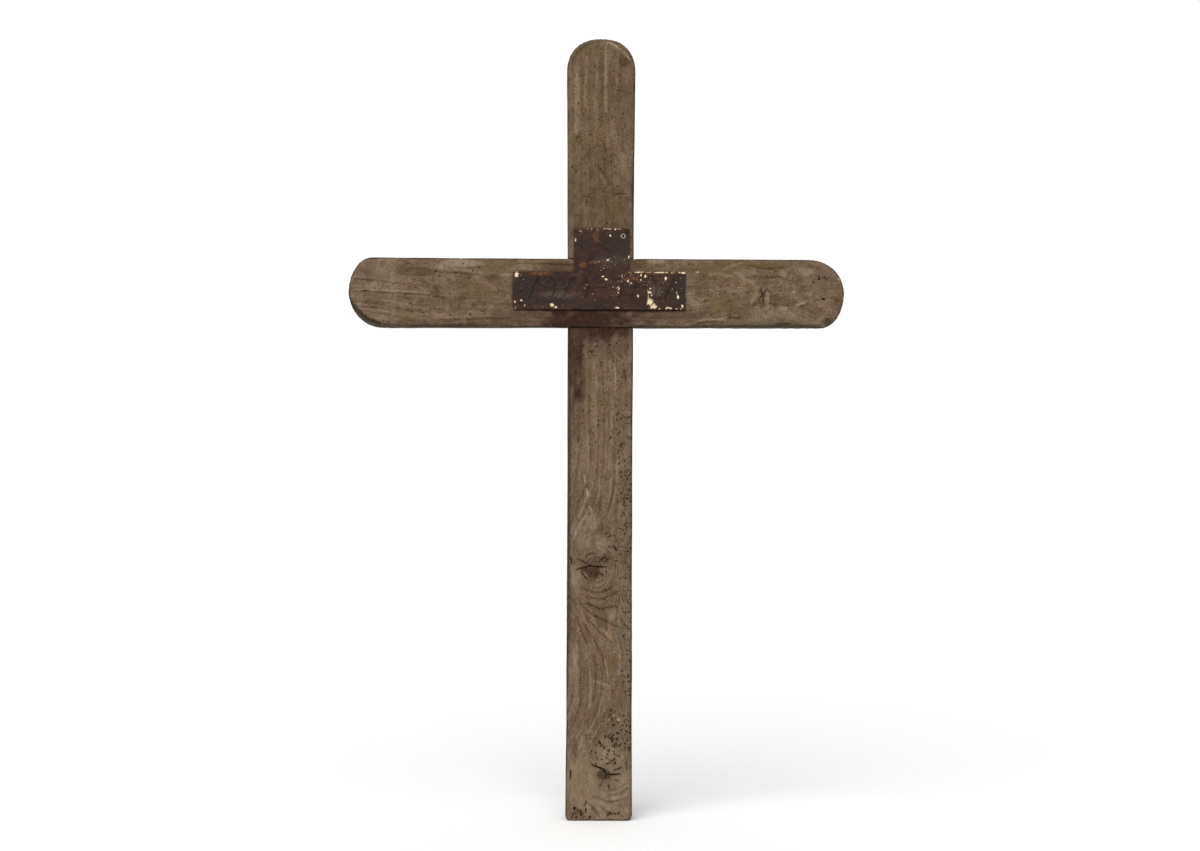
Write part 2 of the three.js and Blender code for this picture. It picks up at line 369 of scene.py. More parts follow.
class NodeSheet:
    """The nodes of one material around its Principled shader."""

    MIX_SHARE = 0
    MIX_FIRST = 6
    MIX_SECOND = 7
    MIX_RESULT = 2

    def __init__(self, name: str) -> None:
        """Starts a material."""
        self.material = bpy.data.materials.new(name)
        self.material.use_nodes = True
        self.tree = self.material.node_tree
        self.shader = self.tree.nodes["Principled BSDF"]

    def feed(self, socket: bpy.types.NodeSocket, value: Signal | float | tuple) -> None:
        """Links a signal to a socket, or sets the socket's own value."""
        if isinstance(value, Signal):
            self.tree.links.new(value.socket, socket)
        else:
            socket.default_value = value

    def node(
        self,
        kind: str,
        settings: dict | None = None,
        inputs: dict | None = None,
        output: str | int = 0,
    ) -> Signal:
        """Adds a node.

        Args:
            kind: The node's type.
            settings: Its properties, or a ramp's stops as pairs of place and colour.
            inputs: Values or signals by the socket's name or number.
            output: Which of its outputs to give.

        Returns:
            That output.
        """
        made = self.tree.nodes.new(kind)
        for name, value in (settings or {}).items():
            if name == "stops":
                self._set_stops(made.color_ramp, value)
            else:
                setattr(made, name, value)
        for key, value in (inputs or {}).items():
            self.feed(made.inputs[key], value)
        return Signal(self, made.outputs[output])

    @staticmethod
    def _set_stops(ramp: bpy.types.ColorRamp, stops: list[tuple[float, Colour]]) -> None:
        """Sets a ramp's stops, first to last."""
        for place, _ in stops[2:]:
            ramp.elements.new(place)
        for element, (place, colour) in zip(ramp.elements, stops):
            element.position = place
            element.color = colour

    def attribute(self, name: str) -> Signal:
        """Reads a number that the mesh holds for each vertex."""
        return self.node("ShaderNodeAttribute", {"attribute_name": name}, output="Fac")

    def spot(self, waves: Triple) -> Signal:
        """Gives object coordinates that grow by 1 over each wave length.

        Args:
            waves: Millimetres along x, y and z.

        Returns:
            The scaled vector.
        """
        place = self.node("ShaderNodeTexCoord", output="Object")
        factors = tuple(1 / (wave * MM) for wave in waves)
        return self.node("ShaderNodeVectorMath", {"operation": "MULTIPLY"}, {0: place, 1: factors})

    def noise(self, waves: Triple, detail: float = 3.0, rough: float = 0.55) -> Signal:
        """Adds noise around 0.

        Args:
            waves: Wave lengths in millimetres along x, y and z.
            detail: Number of finer layers.
            rough: How strong each finer layer is.

        Returns:
            A value that mostly stays between -0.3 and 0.3.
        """
        inputs = {"Vector": self.spot(waves), "Scale": 1.0, "Detail": detail, "Roughness": rough}
        return self.node("ShaderNodeTexNoise", None, inputs, "Fac") - 0.5

    def mix(self, share: Signal | float, first: Signal | Colour, second: Signal | Colour) -> Signal:
        """Mixes two colours, all second where share is 1."""
        settings = {"data_type": "RGBA", "blend_type": "MIX"}
        inputs = {self.MIX_SHARE: share, self.MIX_FIRST: first, self.MIX_SECOND: second}
        return self.node("ShaderNodeMix", settings, inputs, self.MIX_RESULT)

    def bump(self, height: Signal, rise: float, strength: float = 1.0) -> Signal:
        """Turns a height into a normal.

        Args:
            height: The height, where 1 is one rise.
            rise: Millimetres.
            strength: Share of the effect.

        Returns:
            The normal.
        """
        inputs = {"Height": height, "Distance": rise * MM, "Strength": strength}
        return self.node("ShaderNodeBump", None, inputs)

    def finish(self, **inputs: Signal | float | Colour) -> bpy.types.Material:
        """Feeds the shader's sockets, named with underscores for spaces.

        Args:
            inputs: Values or signals for the sockets.

        Returns:
            The finished material.
        """
        for name, value in inputs.items():
            self.feed(self.shader.inputs[name.replace("_", " ")], value)
        return self.material


@dataclass(frozen=True)
class WeatheredWood:
    """Bare softwood gone grey-brown outdoors, with rings, fibres, flecks, algae and rust stains."""

    name: str
    grain: Grain
    ring_gap: float
    blotch: float
    dark: Colour = tone(62, 48, 35)
    middle: Colour = tone(102, 84, 67)
    light: Colour = tone(142, 122, 103)
    olive: Colour = tone(94, 80, 45)
    lichen: Colour = tone(96, 92, 76)
    rust_stain: Colour = tone(47, 29, 22)
    hollow: Colour = tone(38, 28, 19)
    # Pale wear, and the painted highlights on two lit arrises.
    worn_and_highlight: Colour = tone(166, 149, 126)
    bleached: Colour = tone(138, 122, 107)
    heart: Colour = tone(62, 47, 36)
    # Colour of the painted shade on the edges.
    edge_shade_colour: Colour = tone(46, 42, 35)

    def waves(self, across: float, along: float) -> Triple:
        """Gives wave lengths along x, y and z for a pattern drawn out along the fibres."""
        if self.grain is Grain.UPWARD:
            return across, across, along
        return along, across, across

    def flecks(self, sheet: NodeSheet) -> Signal:
        """Scatters small dark flecks, longer along the fibres.

        Args:
            sheet: The material's nodes.

        Returns:
            1 in a fleck and 0 elsewhere.
        """
        inputs = {"Vector": sheet.spot(self.waves(4.4, 6)), "Scale": 1.0, "Randomness": 1.0}
        away = sheet.node("ShaderNodeTexVoronoi", None, inputs, "Distance")
        lot = sheet.node("ShaderNodeTexVoronoi", None, inputs, "Color")
        size = sheet.node("ShaderNodeSeparateColor", None, {"Color": lot}, "Red")
        return (size * 0.4 - 0.12 - away).between(-0.05, 0.06)

    def rings(self, sheet: NodeSheet, warp: Signal, clear: Signal) -> Signal:
        """Draws each year's ring, dark in the late wood and pale where the next year starts.

        Args:
            sheet: The material's nodes.
            warp: Noise that makes the lines uneven.
            clear: How well the rings show.

        Returns:
            1 in the darkest line, below 0 in a pale one and 0 between lines.
        """
        turns = sheet.attribute("growth") * (1 / self.ring_gap) + warp * 0.3
        year = turns.math("FLOOR")
        part = turns - year
        lot = sheet.node("ShaderNodeTexWhiteNoise", {"noise_dimensions": "1D"}, {"W": year}, "Value")
        late = part.between(0.3, 0.9) * part.between(1.0, 0.93)
        early = part.between(0.3, 0.05)
        return (late - early * 0.6) * (lot * 0.85 + 0.15) * clear

    def material(self) -> bpy.types.Material:
        """Builds the finish.

        Returns:
            The material.
        """
        sheet = NodeSheet(self.name)
        fibre = sheet.noise(self.waves(0.9, 22), 4)
        streak = sheet.noise(self.waves(3.2, 45), 3)
        grit = sheet.noise(self.waves(1.6, 2.0), 3, 0.6)
        mottle = sheet.noise(self.waves(5, 7), 5, 0.68)
        grime = sheet.noise(self.waves(16, 26), 4, 0.62)
        cloud = sheet.noise(self.waves(50, 90), 2)
        clear = (cloud.between(-0.15, 0.15) * 0.3 + 0.25 + sheet.attribute(Tint.RINGS.value)).clamped()
        rings = self.rings(sheet, mottle, clear)
        flecks = self.flecks(sheet) * (sheet.attribute(Tint.FLECKS.value) + 0.2).clamped()
        level = fibre * 0.25 + streak * 0.35 + grit * 1.1 + mottle * (0.4 + 0.5 * self.blotch)
        level = level + grime * (0.25 + 0.5 * self.blotch) + cloud * 0.4 + 0.55
        level = level - rings * 0.3 - sheet.attribute(Tint.SHADE.value) * 0.5
        stops = [(0.0, self.dark), (0.5, self.middle), (1.0, self.light)]
        colour = sheet.node("ShaderNodeValToRGB", {"stops": stops}, {"Fac": level})

        bare = sheet.noise(self.waves(11, 15), 4, 0.6).between(0.04, 0.08)
        colour = sheet.mix(bare * (0.4 * self.blotch), colour, self.bleached)
        green = sheet.noise(self.waves(14, 19), 4, 0.6).between(0.04, 0.1)
        colour = sheet.mix(green * (0.5 * self.blotch), colour, self.olive)
        layers = [
            (Tint.ALGAE, self.olive, 0.75),
            (Tint.LICHEN, self.lichen, 0.7),
            # Pale wear and painted highlights.
            (Tint.PALE, self.worn_and_highlight, 0.7),
            (Tint.HEART, self.heart, 0.9),
            (Tint.RUST, self.rust_stain, 0.94),
            # Painted shade on the edges.
            (Tint.GRIME, self.edge_shade_colour, 0.9),
        ]
        for tint, paint, most in layers:
            share = (sheet.attribute(tint.value) * (mottle * 1.3 + grime + 1.0)).clamped()
            colour = sheet.mix(share * most, colour, paint)
        colour = sheet.mix(flecks * 0.6, colour, self.hollow)
        # Dark in the splits and holes, with the painted shade beside the splits and along the plate's edges.
        hollow = sheet.attribute("hollow").clamped()
        colour = sheet.mix(hollow * 0.92, colour, self.hollow)

        height = fibre * 0.5 + streak * 0.4 + grit * 0.8 + mottle * 0.7 + rings * 0.25 - flecks * 0.5
        return sheet.finish(
            Base_Color=colour,
            Roughness=(0.9 + hollow * 0.08).clamped(),
            Specular_IOR_Level=0.06,
            Normal=sheet.bump(height, 0.8, 0.8),
        )


@dataclass(frozen=True)
class RustedIron:
    """Sheet iron gone brown, with dark scale, orange bloom, grey dusting with a painted sheen, and the last
    of a cream paint.
    """

    name: str
    brown: Colour = tone(56, 38, 31)
    deep: Colour = tone(28, 20, 17)
    red: Colour = tone(90, 62, 48)
    scale: Colour = tone(49, 41, 36)
    dust: Colour = tone(112, 99, 90)
    # Grey dust, also the painted sheen.
    orange: Colour = tone(132, 82, 44)
    paint: Colour = tone(222, 208, 178)
    paint_worn: Colour = tone(160, 136, 98)

    def material(self) -> bpy.types.Material:
        """Builds the finish.

        Returns:
            The material.
        """
        sheet = NodeSheet(self.name)
        grain = sheet.noise((1.3, 1.3, 1.3), 4, 0.68)
        bloom = sheet.noise((7, 7, 4.5), 5, 0.66)
        cloud = sheet.noise((30, 30, 20), 3)
        level = grain * 1.1 + bloom * 1.3 + cloud * 0.7 + 0.48
        stops = [(0.1, self.deep), (0.5, self.brown), (0.95, self.red)]
        colour = sheet.node("ShaderNodeValToRGB", {"stops": stops}, {"Fac": level})
        scale = (sheet.attribute("scale") + bloom * 1.2).between(0.2, 0.8)
        colour = sheet.mix(scale * 0.8, colour, self.scale)
        orange = (sheet.attribute("orange") * (bloom * 3 + grain * 3 + 0.7)).clamped()
        colour = sheet.mix(orange * 0.85, colour, self.orange)
        # Grey dust, and a painted sheen below the left strokes.
        dust = (sheet.attribute("dust") * (bloom * 2 + grain * 2 + 0.8)).clamped()
        colour = sheet.mix(dust * 0.7, colour, self.dust)
        # Painted shade in the stamped grooves.
        stamp = sheet.attribute("stamp").clamped()
        colour = sheet.mix(stamp * 0.42, colour, self.deep)
        flake = sheet.attribute("paint")
        paint = (flake + grain * 0.7).between(0.4, 0.58)
        colour = sheet.mix(paint, colour, sheet.mix(flake.between(0.55, 1.0), self.paint_worn, self.paint))
        height = grain * 0.6 + bloom * 0.6 + paint * 0.4
        return sheet.finish(
            Base_Color=colour,
            Metallic=((1 - paint) * (scale * 0.2 + 0.05)).clamped(),
            Roughness=(0.7 + grain * 0.4 - scale * 0.14 + paint * 0.1).clamped(),
            Specular_IOR_Level=0.18,
            Normal=sheet.bump(height, 0.5, 0.7),
        )


@dataclass(frozen=True)
class Knot:
    """A branch that the board was sawn through: rings of its own, and fibres pushed aside past it."""

    place: Place
    push: float
    reach: float
    radius: float = 0.0
    squash: float = 1.0
    rings: float = 0.0


@dataclass(frozen=True)
class Crack:
    """A split in a board's front, drawn as places across and along it; two on the crossbar are painted
    shadow lines along the plate's edges.
    """

    places: tuple[Place, ...]
    width: float
    depth: float
    dark: float = 1.0


@dataclass(frozen=True)
class Streak:
    """A line of colour on a board's front, with the wood eroded along it where it has a depth."""

    tint: Tint
    places: tuple[Place, ...]
    width: float
    strength: float
    depth: float = 0.0


@dataclass(frozen=True)
class WormZone:
    """A stretch of a board's front that beetles have eaten into."""

    across: Place
    along: Place
    holes: int
    radius: Place
    dark: Place = (0.45, 0.85)


@dataclass(frozen=True)
class Patch:
    """An oval patch of colour on a board's front."""

    tint: Tint
    place: Place
    reach: Place
    strength: float
    top: float = math.inf
    soft: Place = (0.35, 1.25)


Mark = TypeVar("Mark", Patch, Streak)


@dataclass(frozen=True)
class Pit:
    """One hole or fleck in the surface."""

    spot: Triple
    radius: float
    stretch: float
    depth: float
    dark: float


@dataclass
class Board:
    """One weathered board, shaped from its sawn CAD solid."""

    node: str
    slot: str
    grain: Grain
    pith: Place
    lean: float
    seed: int
    ring_gap: float
    triangles: tuple[int, int]
    knots: list[Knot] = field(default_factory=list)
    cracks: list[Crack] = field(default_factory=list)
    worms: list[WormZone] = field(default_factory=list)
    patches: list[Patch] = field(default_factory=list)
    streaks: list[Streak] = field(default_factory=list)
    pits: list[Pit] = field(default_factory=list)
    blotch: float = 1.0
    speck_gap: float = 15.0
    face_size: float = 0.85
    ring_relief: float = 0.16
    arris_wear: float = 0.9
    front_skin: float = 4.0
    line_margin: float = 4.0
    line_depth: float = 6.0
    tint_depth: Place = (4.0, 14.0)

    def __post_init__(self) -> None:
        """Takes the board's place from the frame and seeds its noise."""
        low, high = (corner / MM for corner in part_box(self.node))
        self.front = low.y
        self.thickness = high.y - low.y
        self.centre = (low.z + high.z) / 2
        self.noise = ValueNoise(self.seed)
        self.lots = np.random.default_rng(self.seed)

    def local(self, points: np.ndarray) -> np.ndarray:
        """Turns places on the cross into places on the board.

        Args:
            points: Rows of x, y and z.

        Returns:
            Rows of the place across the board, along its fibres, and behind its front.
        """
        behind = points[:, 1] - self.front
        if self.grain is Grain.UPWARD:
            return np.column_stack((points[:, 0], points[:, 2], behind))
        return np.column_stack((points[:, 2] - self.centre, points[:, 0], behind))

    def growth(self, spots: np.ndarray) -> np.ndarray:
        """Gives how far out in the tree each spot grew, with the fibres bent round the knots.

        Args:
            spots: Rows of places on the board.

        Returns:
            Millimetres from the pith.
        """
        across, along, behind = spots.T
        aside = across + self.lean * along + 5 * self.noise.at(spots, (60, 170, 90))
        for knot in self.knots:
            aside = aside + knot.push * np.exp(-(((along - knot.place[1]) / knot.reach) ** 2))
        out = np.hypot(aside - self.pith[0], behind - self.pith[1])
        out += 1.3 * self.noise.at(spots, (14, 70, 20))
        for knot in self.knots:
            if knot.radius:
                flat = (spots[:, :2] - knot.place) / (knot.squash, 1)
                away = np.linalg.norm(flat, axis=1) + 2.2 * self.noise.at(spots, (13, 13, 60))
                weight = 1 - ease(0.6 * knot.radius, knot.radius, away)
                out = out * (1 - weight) + weight * (knot.rings + away * 0.62)
        return out + 0.8 * np.sin(out / 4.3) + 0.5 * np.sin(out / 1.9 + 1)

    def line_share(
        self, spots: np.ndarray, places: tuple[Place, ...], width: float
    ) -> tuple[np.ndarray, np.ndarray]:
        """Finds the spots near a ragged line on the front that narrows to its ends.

        Args:
            spots: Rows of places on the board.
            places: The line's corners, across and along.
            width: Its width at the widest.

        Returns:
            Which spots are near it, and how far inside the line they lie, in millimetres.
        """
        corners = np.array(places)
        low = corners.min(axis=0) - self.line_margin - width
        high = corners.max(axis=0) + self.line_margin + width
        boxed = np.all((spots[:, :2] > low) & (spots[:, :2] < high), axis=1)
        near = np.flatnonzero(boxed & (spots[:, 2] < self.line_depth))
        flat = spots[near, :2] + 0.4 * self.noise.at(spots[near], (4, 4, 50))[:, None]
        ragged = width / 2 * (1 + 0.3 * self.noise.at(spots[near], (2.2, 2.2, 50)))
        steps = np.linalg.norm(np.diff(corners, axis=0), axis=1)
        starts = np.cumsum(steps) - steps
        best = np.full(len(near), -50.0)
        for first, last, start, step in zip(corners[:-1], corners[1:], starts, steps):
            part = np.clip((flat - first) @ (last - first) / step**2, 0, 1)
            away = np.linalg.norm(flat - first - part[:, None] * (last - first), axis=1)
            run = (start + part * step) / steps.sum()
            taper = 0.4 + 0.6 * np.sqrt(np.maximum(0, 1 - (2 * run - 1) ** 2))
            best = np.maximum(best, ragged * taper - away)
        return near, best

    def crack_share(self, spots: np.ndarray) -> tuple[np.ndarray, np.ndarray]:
        """Measures the splits, each with a painted shade beside it, and the painted shadow lines along the
        plate.

        Args:
            spots: Rows of places on the board.

        Returns:
            How dark each spot is, from 0 to 1, and how deep, in millimetres.
        """
        dark = np.zeros(len(spots))
        depth = np.zeros(len(spots))
        for crack in self.cracks:
            near, inside = self.line_share(spots, crack.places, crack.width)
            # A soft painted shade beside each split.
            halo = 0.4 * np.clip(1 + inside / 2.0, 0, 1) ** 2
            seen = crack.dark * np.maximum(halo, ease(-0.1, 0.5, inside))
            dark[near] = np.maximum(dark[near], seen)
            depth[near] = np.maximum(depth[near], crack.depth * np.clip(2 * inside / crack.width, 0, 1))
        return dark, depth

    def scatter_pits(self, spots: np.ndarray) -> None:
        """Draws the beetle holes on the front and the flecks on every side.

        Args:
            spots: Places on the board to choose from.
        """
        for zone in self.worms:
            for _ in range(zone.holes):
                place = (self.lots.uniform(*zone.across), self.lots.uniform(*zone.along), 0.6)
                radius = self.lots.uniform(*zone.radius)
                stretch = self.lots.uniform(1, 1.8)
                self.pits.append(Pit(place, radius, stretch, 1.6 * radius, self.lots.uniform(*zone.dark)))
        area = len(spots) * self.face_size**2
        for index in self.lots.integers(len(spots), size=int(area / self.speck_gap**2)):
            radius = self.lots.uniform(0.6, 1.15)
            stretch = self.lots.uniform(1.3, 3)
            dark = self.lots.uniform(0.2, 0.6)
            self.pits.append(Pit(tuple(spots[index]), radius, stretch, 0.5 * radius, dark))

    def pit_share(self, spots: np.ndarray) -> tuple[np.ndarray, np.ndarray]:
        """Measures the holes and flecks.

        Args:
            spots: Rows of places on the board.

        Returns:
            How dark each spot is, from 0 to 1, and how deep, in millimetres.
        """
        dark = np.zeros(len(spots))
        depth = np.zeros(len(spots))
        bent = spots.copy()
        bent[:, 0] += 0.7 * self.noise.at(spots, (2.4, 3, 20))
        bent[:, 1] += 1.2 * self.noise.at(spots + 31, (2.4, 3, 20))
        order = np.argsort(bent[:, 1])
        along = bent[order, 1]
        for pit in self.pits:
            reach = pit.radius * np.array((1.0, pit.stretch, 3.0))
            ends = np.searchsorted(along, (pit.spot[1] - reach[1], pit.spot[1] + reach[1]))
            near = order[ends[0] : ends[1]]
            share = 1 - np.linalg.norm((bent[near] - pit.spot) / reach, axis=1)
            dark[near] = np.maximum(dark[near], pit.dark * ease(0, 0.5, share))
            depth[near] = np.maximum(depth[near], pit.depth * ease(0, 0.6, share))
        return dark, depth

    def relief(self, spots: np.ndarray, normals: np.ndarray) -> np.ndarray:
        """Gives how far the weather has raised or taken the sawn surface.

        Args:
            spots: Rows of places on the board.
            normals: The surface's outward directions there.

        Returns:
            Millimetres outwards.
        """
        rings = np.sin(self.growth(spots) * (2 * math.pi / self.ring_gap))
        facing = normals[:, 1] ** 2
        arris = 4 * facing * (1 - facing)
        height = self.ring_relief * rings
        height += 0.28 * self.noise.at(spots, (24, 60, 24)) + 0.1 * self.noise.at(spots, (3.4, 20, 3.4))
        chips = ease(0.15, 0.8, self.noise.at(spots, (7, 16, 7)))
        height -= arris * self.arris_wear * (0.25 + chips)
        height -= self.crack_share(spots)[1]
        height -= self.pit_share(spots)[1]
        for streak in self.streaks:
            if streak.depth:
                near, inside = self.line_share(spots, streak.places, streak.width)
                height[near] -= streak.depth * ease(-0.5 * streak.width, 0.5 * streak.width, inside)
        return height

    def patch_share(self, spots: np.ndarray, tint: Tint) -> np.ndarray:
        """Gives how strongly one tint has coloured each spot, from 0 to 1."""
        total = np.zeros(len(spots))
        ragged = 0.28 * self.noise.at(spots, (9, 16, 60)) + 0.14 * self.noise.at(spots, (3, 5, 30))
        for patch in self.patches:
            if patch.tint is tint:
                away = np.linalg.norm((spots[:, :2] - patch.place) / patch.reach, axis=1)
                share = patch.strength * (1 - ease(*patch.soft, away + ragged))
                if patch.top < math.inf:
                    share *= 1 - ease(patch.top - 0.6, patch.top + 0.6, spots[:, 1])
                total = np.maximum(total, share)
        for streak in self.streaks:
            if streak.tint is tint:
                near, inside = self.line_share(spots, streak.places, streak.width)
                share = streak.strength * ease(-0.3 * streak.width, 0.3 * streak.width, inside)
                total[near] = np.maximum(total[near], share)
        return total * (1 - ease(*self.tint_depth, spots[:, 2]))

    def rim(self, spots: np.ndarray) -> np.ndarray:
        """Gives the painted shade on the arrises and the narrow sides, from 0 to 1."""
        inward = np.minimum(spots[:, 2], self.thickness - spots[:, 2])
        return ease(0.6, 3.2, inward) * (1 - 0.5 * ease(3.5, 9, inward))

    def note_weathering(self, surface: Surface) -> None:
        """Stores what the finish reads at every vertex.

        Args:
            surface: The shaped board.
        """
        spots = self.local(surface.points())
        surface.note("growth", self.growth(spots))
        # Splits and holes, with their painted shade and the painted shadow lines.
        surface.note("hollow", np.maximum(self.crack_share(spots)[0], self.pit_share(spots)[0]))
        for tint in Tint:
            share = self.patch_share(spots, tint)
            # The painted edge shade: its patches and lines, or the painted shade on arrises and sides,
            # whichever is stronger.
            surface.note(tint.value, np.maximum(share, self.rim(spots)) if tint is Tint.GRIME else share)

    def build(self, frame: dict) -> bpy.types.Object:
        """Makes the board.

        Args:
            frame: What the loaded frame holds.

        Returns:
            The finished piece.
        """
        piece = Bench.copy_of(frame["nodes"][self.node], f"{self.node}_board")
        Bench.even_faces(piece, self.face_size)
        surface = Surface(piece)
        points = surface.points()
        normals = surface.normals()
        spots = self.local(points)
        self.scatter_pits(spots)
        surface.move_to(points + normals * self.relief(spots, normals)[:, None])
        Bench.thin(piece, self.front + self.front_skin, *self.triangles)
        self.note_weathering(Surface(piece))
        Bench.smooth(piece)
        finish = WeatheredWood(f"weathered_{self.node}", self.grain, self.ring_gap, self.blotch)
        Bench.join_frame(piece, self.node, self.slot, finish.material())
        return piece


def grouped(kind: type[Mark], groups: dict[Tint, list[tuple]]) -> list[Mark]:
    """Makes a board's marks from rows that are grouped by tint.

    Args:
        kind: Patch or Streak.
        groups: For each tint, rows of what a mark holds after its tint.

    Returns:
        One mark for each row.
    """
    return [kind(tint, *row) for tint, rows in groups.items() for row in rows]


def fan_lines() -> list[Streak]:
    """Draws the rings that fan out to the right below the upper knot and run on down the shaft.

    Returns:
        Dark lines, and the pale wood beside some of them.
    """
    dark = [
        (((-24.5, 265), (-20, 258), (-6.5, 247), (8, 239), (22, 234), (27, 230)), 2.4, 0.8),
        (((-19.5, 251), (-9, 237), (3, 224.5), (15, 215)), 2, 0.65),
        (((-27, 245), (-20.5, 226), (-12.5, 210), (-6.5, 193), (-4.5, 184)), 2.2, 0.5),
        (((-17.5, 236), (-6, 217.5), (2, 202), (7, 184), (9.5, 172)), 2, 0.6),
        (((24.5, 269), (22, 258), (19.5, 240)), 3.4, 0.5),
        (((22.5, 225), (26.5, 207)), 2.2, 0.7),
        (((-24.5, 218), (-22, 182), (-23, 138)), 2.2, 0.5),
        (((-6.5, 184), (-4, 169), (-7.5, 142)), 2, 0.5),
        (((-14.5, 194), (-13, 175), (-15.5, 138)), 2, 0.45),
    ]
    pale = [
        (((0, 231), (8, 226), (15, 220)), 4.5, 0.4),
        (((-10.5, 180), (-10, 157), (-12, 136)), 1.8, 0.45),
        (((7, 195), (10.5, 174)), 2, 0.5),
        (((6, 158), (2, 140), (-3, 124)), 2, 0.35),
        (((-2, 127), (-14, 104)), 2, 0.4),
        (((2, 116), (-13, 92)), 2, 0.35),
    ]
    return grouped(Streak, {Tint.SHADE: dark, Tint.PALE: pale})


def knot_arcs() -> list[Streak]:
    """Draws the rings that show round the two knots.

    Returns:
        Dark lines, darker ones round the lower knot, and pale ones between them.
    """
    dark = [
        (((-16.5, 325), (-9, 328), (-3, 326.5), (1.5, 323.5)), 1.7, 0.6),
        (((-22.5, 300), (-18.5, 294), (-11.5, 289), (-3, 287), (4, 289.5)), 2, 0.6),
        (((-14, 277.5), (-5.5, 274.5), (2, 274.5), (9, 277.5), (16, 282.5)), 2.6, 0.55),
        (((-15, 270), (-8, 268), (-2, 266.5), (6.5, 268), (15, 272), (21, 276.5)), 2.4, 0.75),
        (((-30, 260.5), (-16, 261), (-9, 259), (-2, 256), (6.5, 255.5), (22, 259)), 2, 0.75),
        (((32.5, 46), (25.5, 40), (16, 36.5), (6, 37.5)), 2.2, 0.9),
        (((35, 40), (28, 34), (20.5, 31), (12, 31.5)), 3, 1.0),
        (((32.5, 29), (23, 24.5), (13.5, 23.5), (5, 25.5), (0, 29), (-6, 29.5)), 2.2, 1.0),
        (((-11.5, 22), (-3.5, 11), (1.5, 4)), 3.4, 0.9),
        (((1.5, 18), (6.5, 13.5), (12.5, 10), (20, 8.5)), 3, 0.9),
        (((-26.5, 92.5), (-28.5, 79.5), (-31, 67)), 1.8, 0.7),
    ]
    pale = [
        (((34, 43), (26.5, 36.5), (17, 33.5), (8.5, 35)), 2.2, 0.5),
        (((36, 37), (30, 29), (20.5, 26.8), (10, 28)), 2.8, 0.5),
        (((-7, 25.5), (2.5, 13.5)), 3, 0.4),
        (((2.5, 16), (8.5, 5)), 2.4, 0.4),
        (((30, 70), (33, 58), (31, 48)), 3.5, 0.35),
    ]
    low = [
        (((35, 41), (26, 35.5), (18, 32), (9, 32.5)), 2.6, 0.3),
        (((32.5, 29), (23, 24.5), (13.5, 23.5), (5, 25.5), (-6, 29.5)), 2.2, 0.4),
        (((-11.5, 22), (-3.5, 11), (1.5, 4)), 3, 0.3),
        (((2, 18), (12.5, 10), (22, 8.5)), 3, 0.35),
    ]
    return grouped(Streak, {Tint.SHADE: dark, Tint.HEART: low, Tint.PALE: pale})


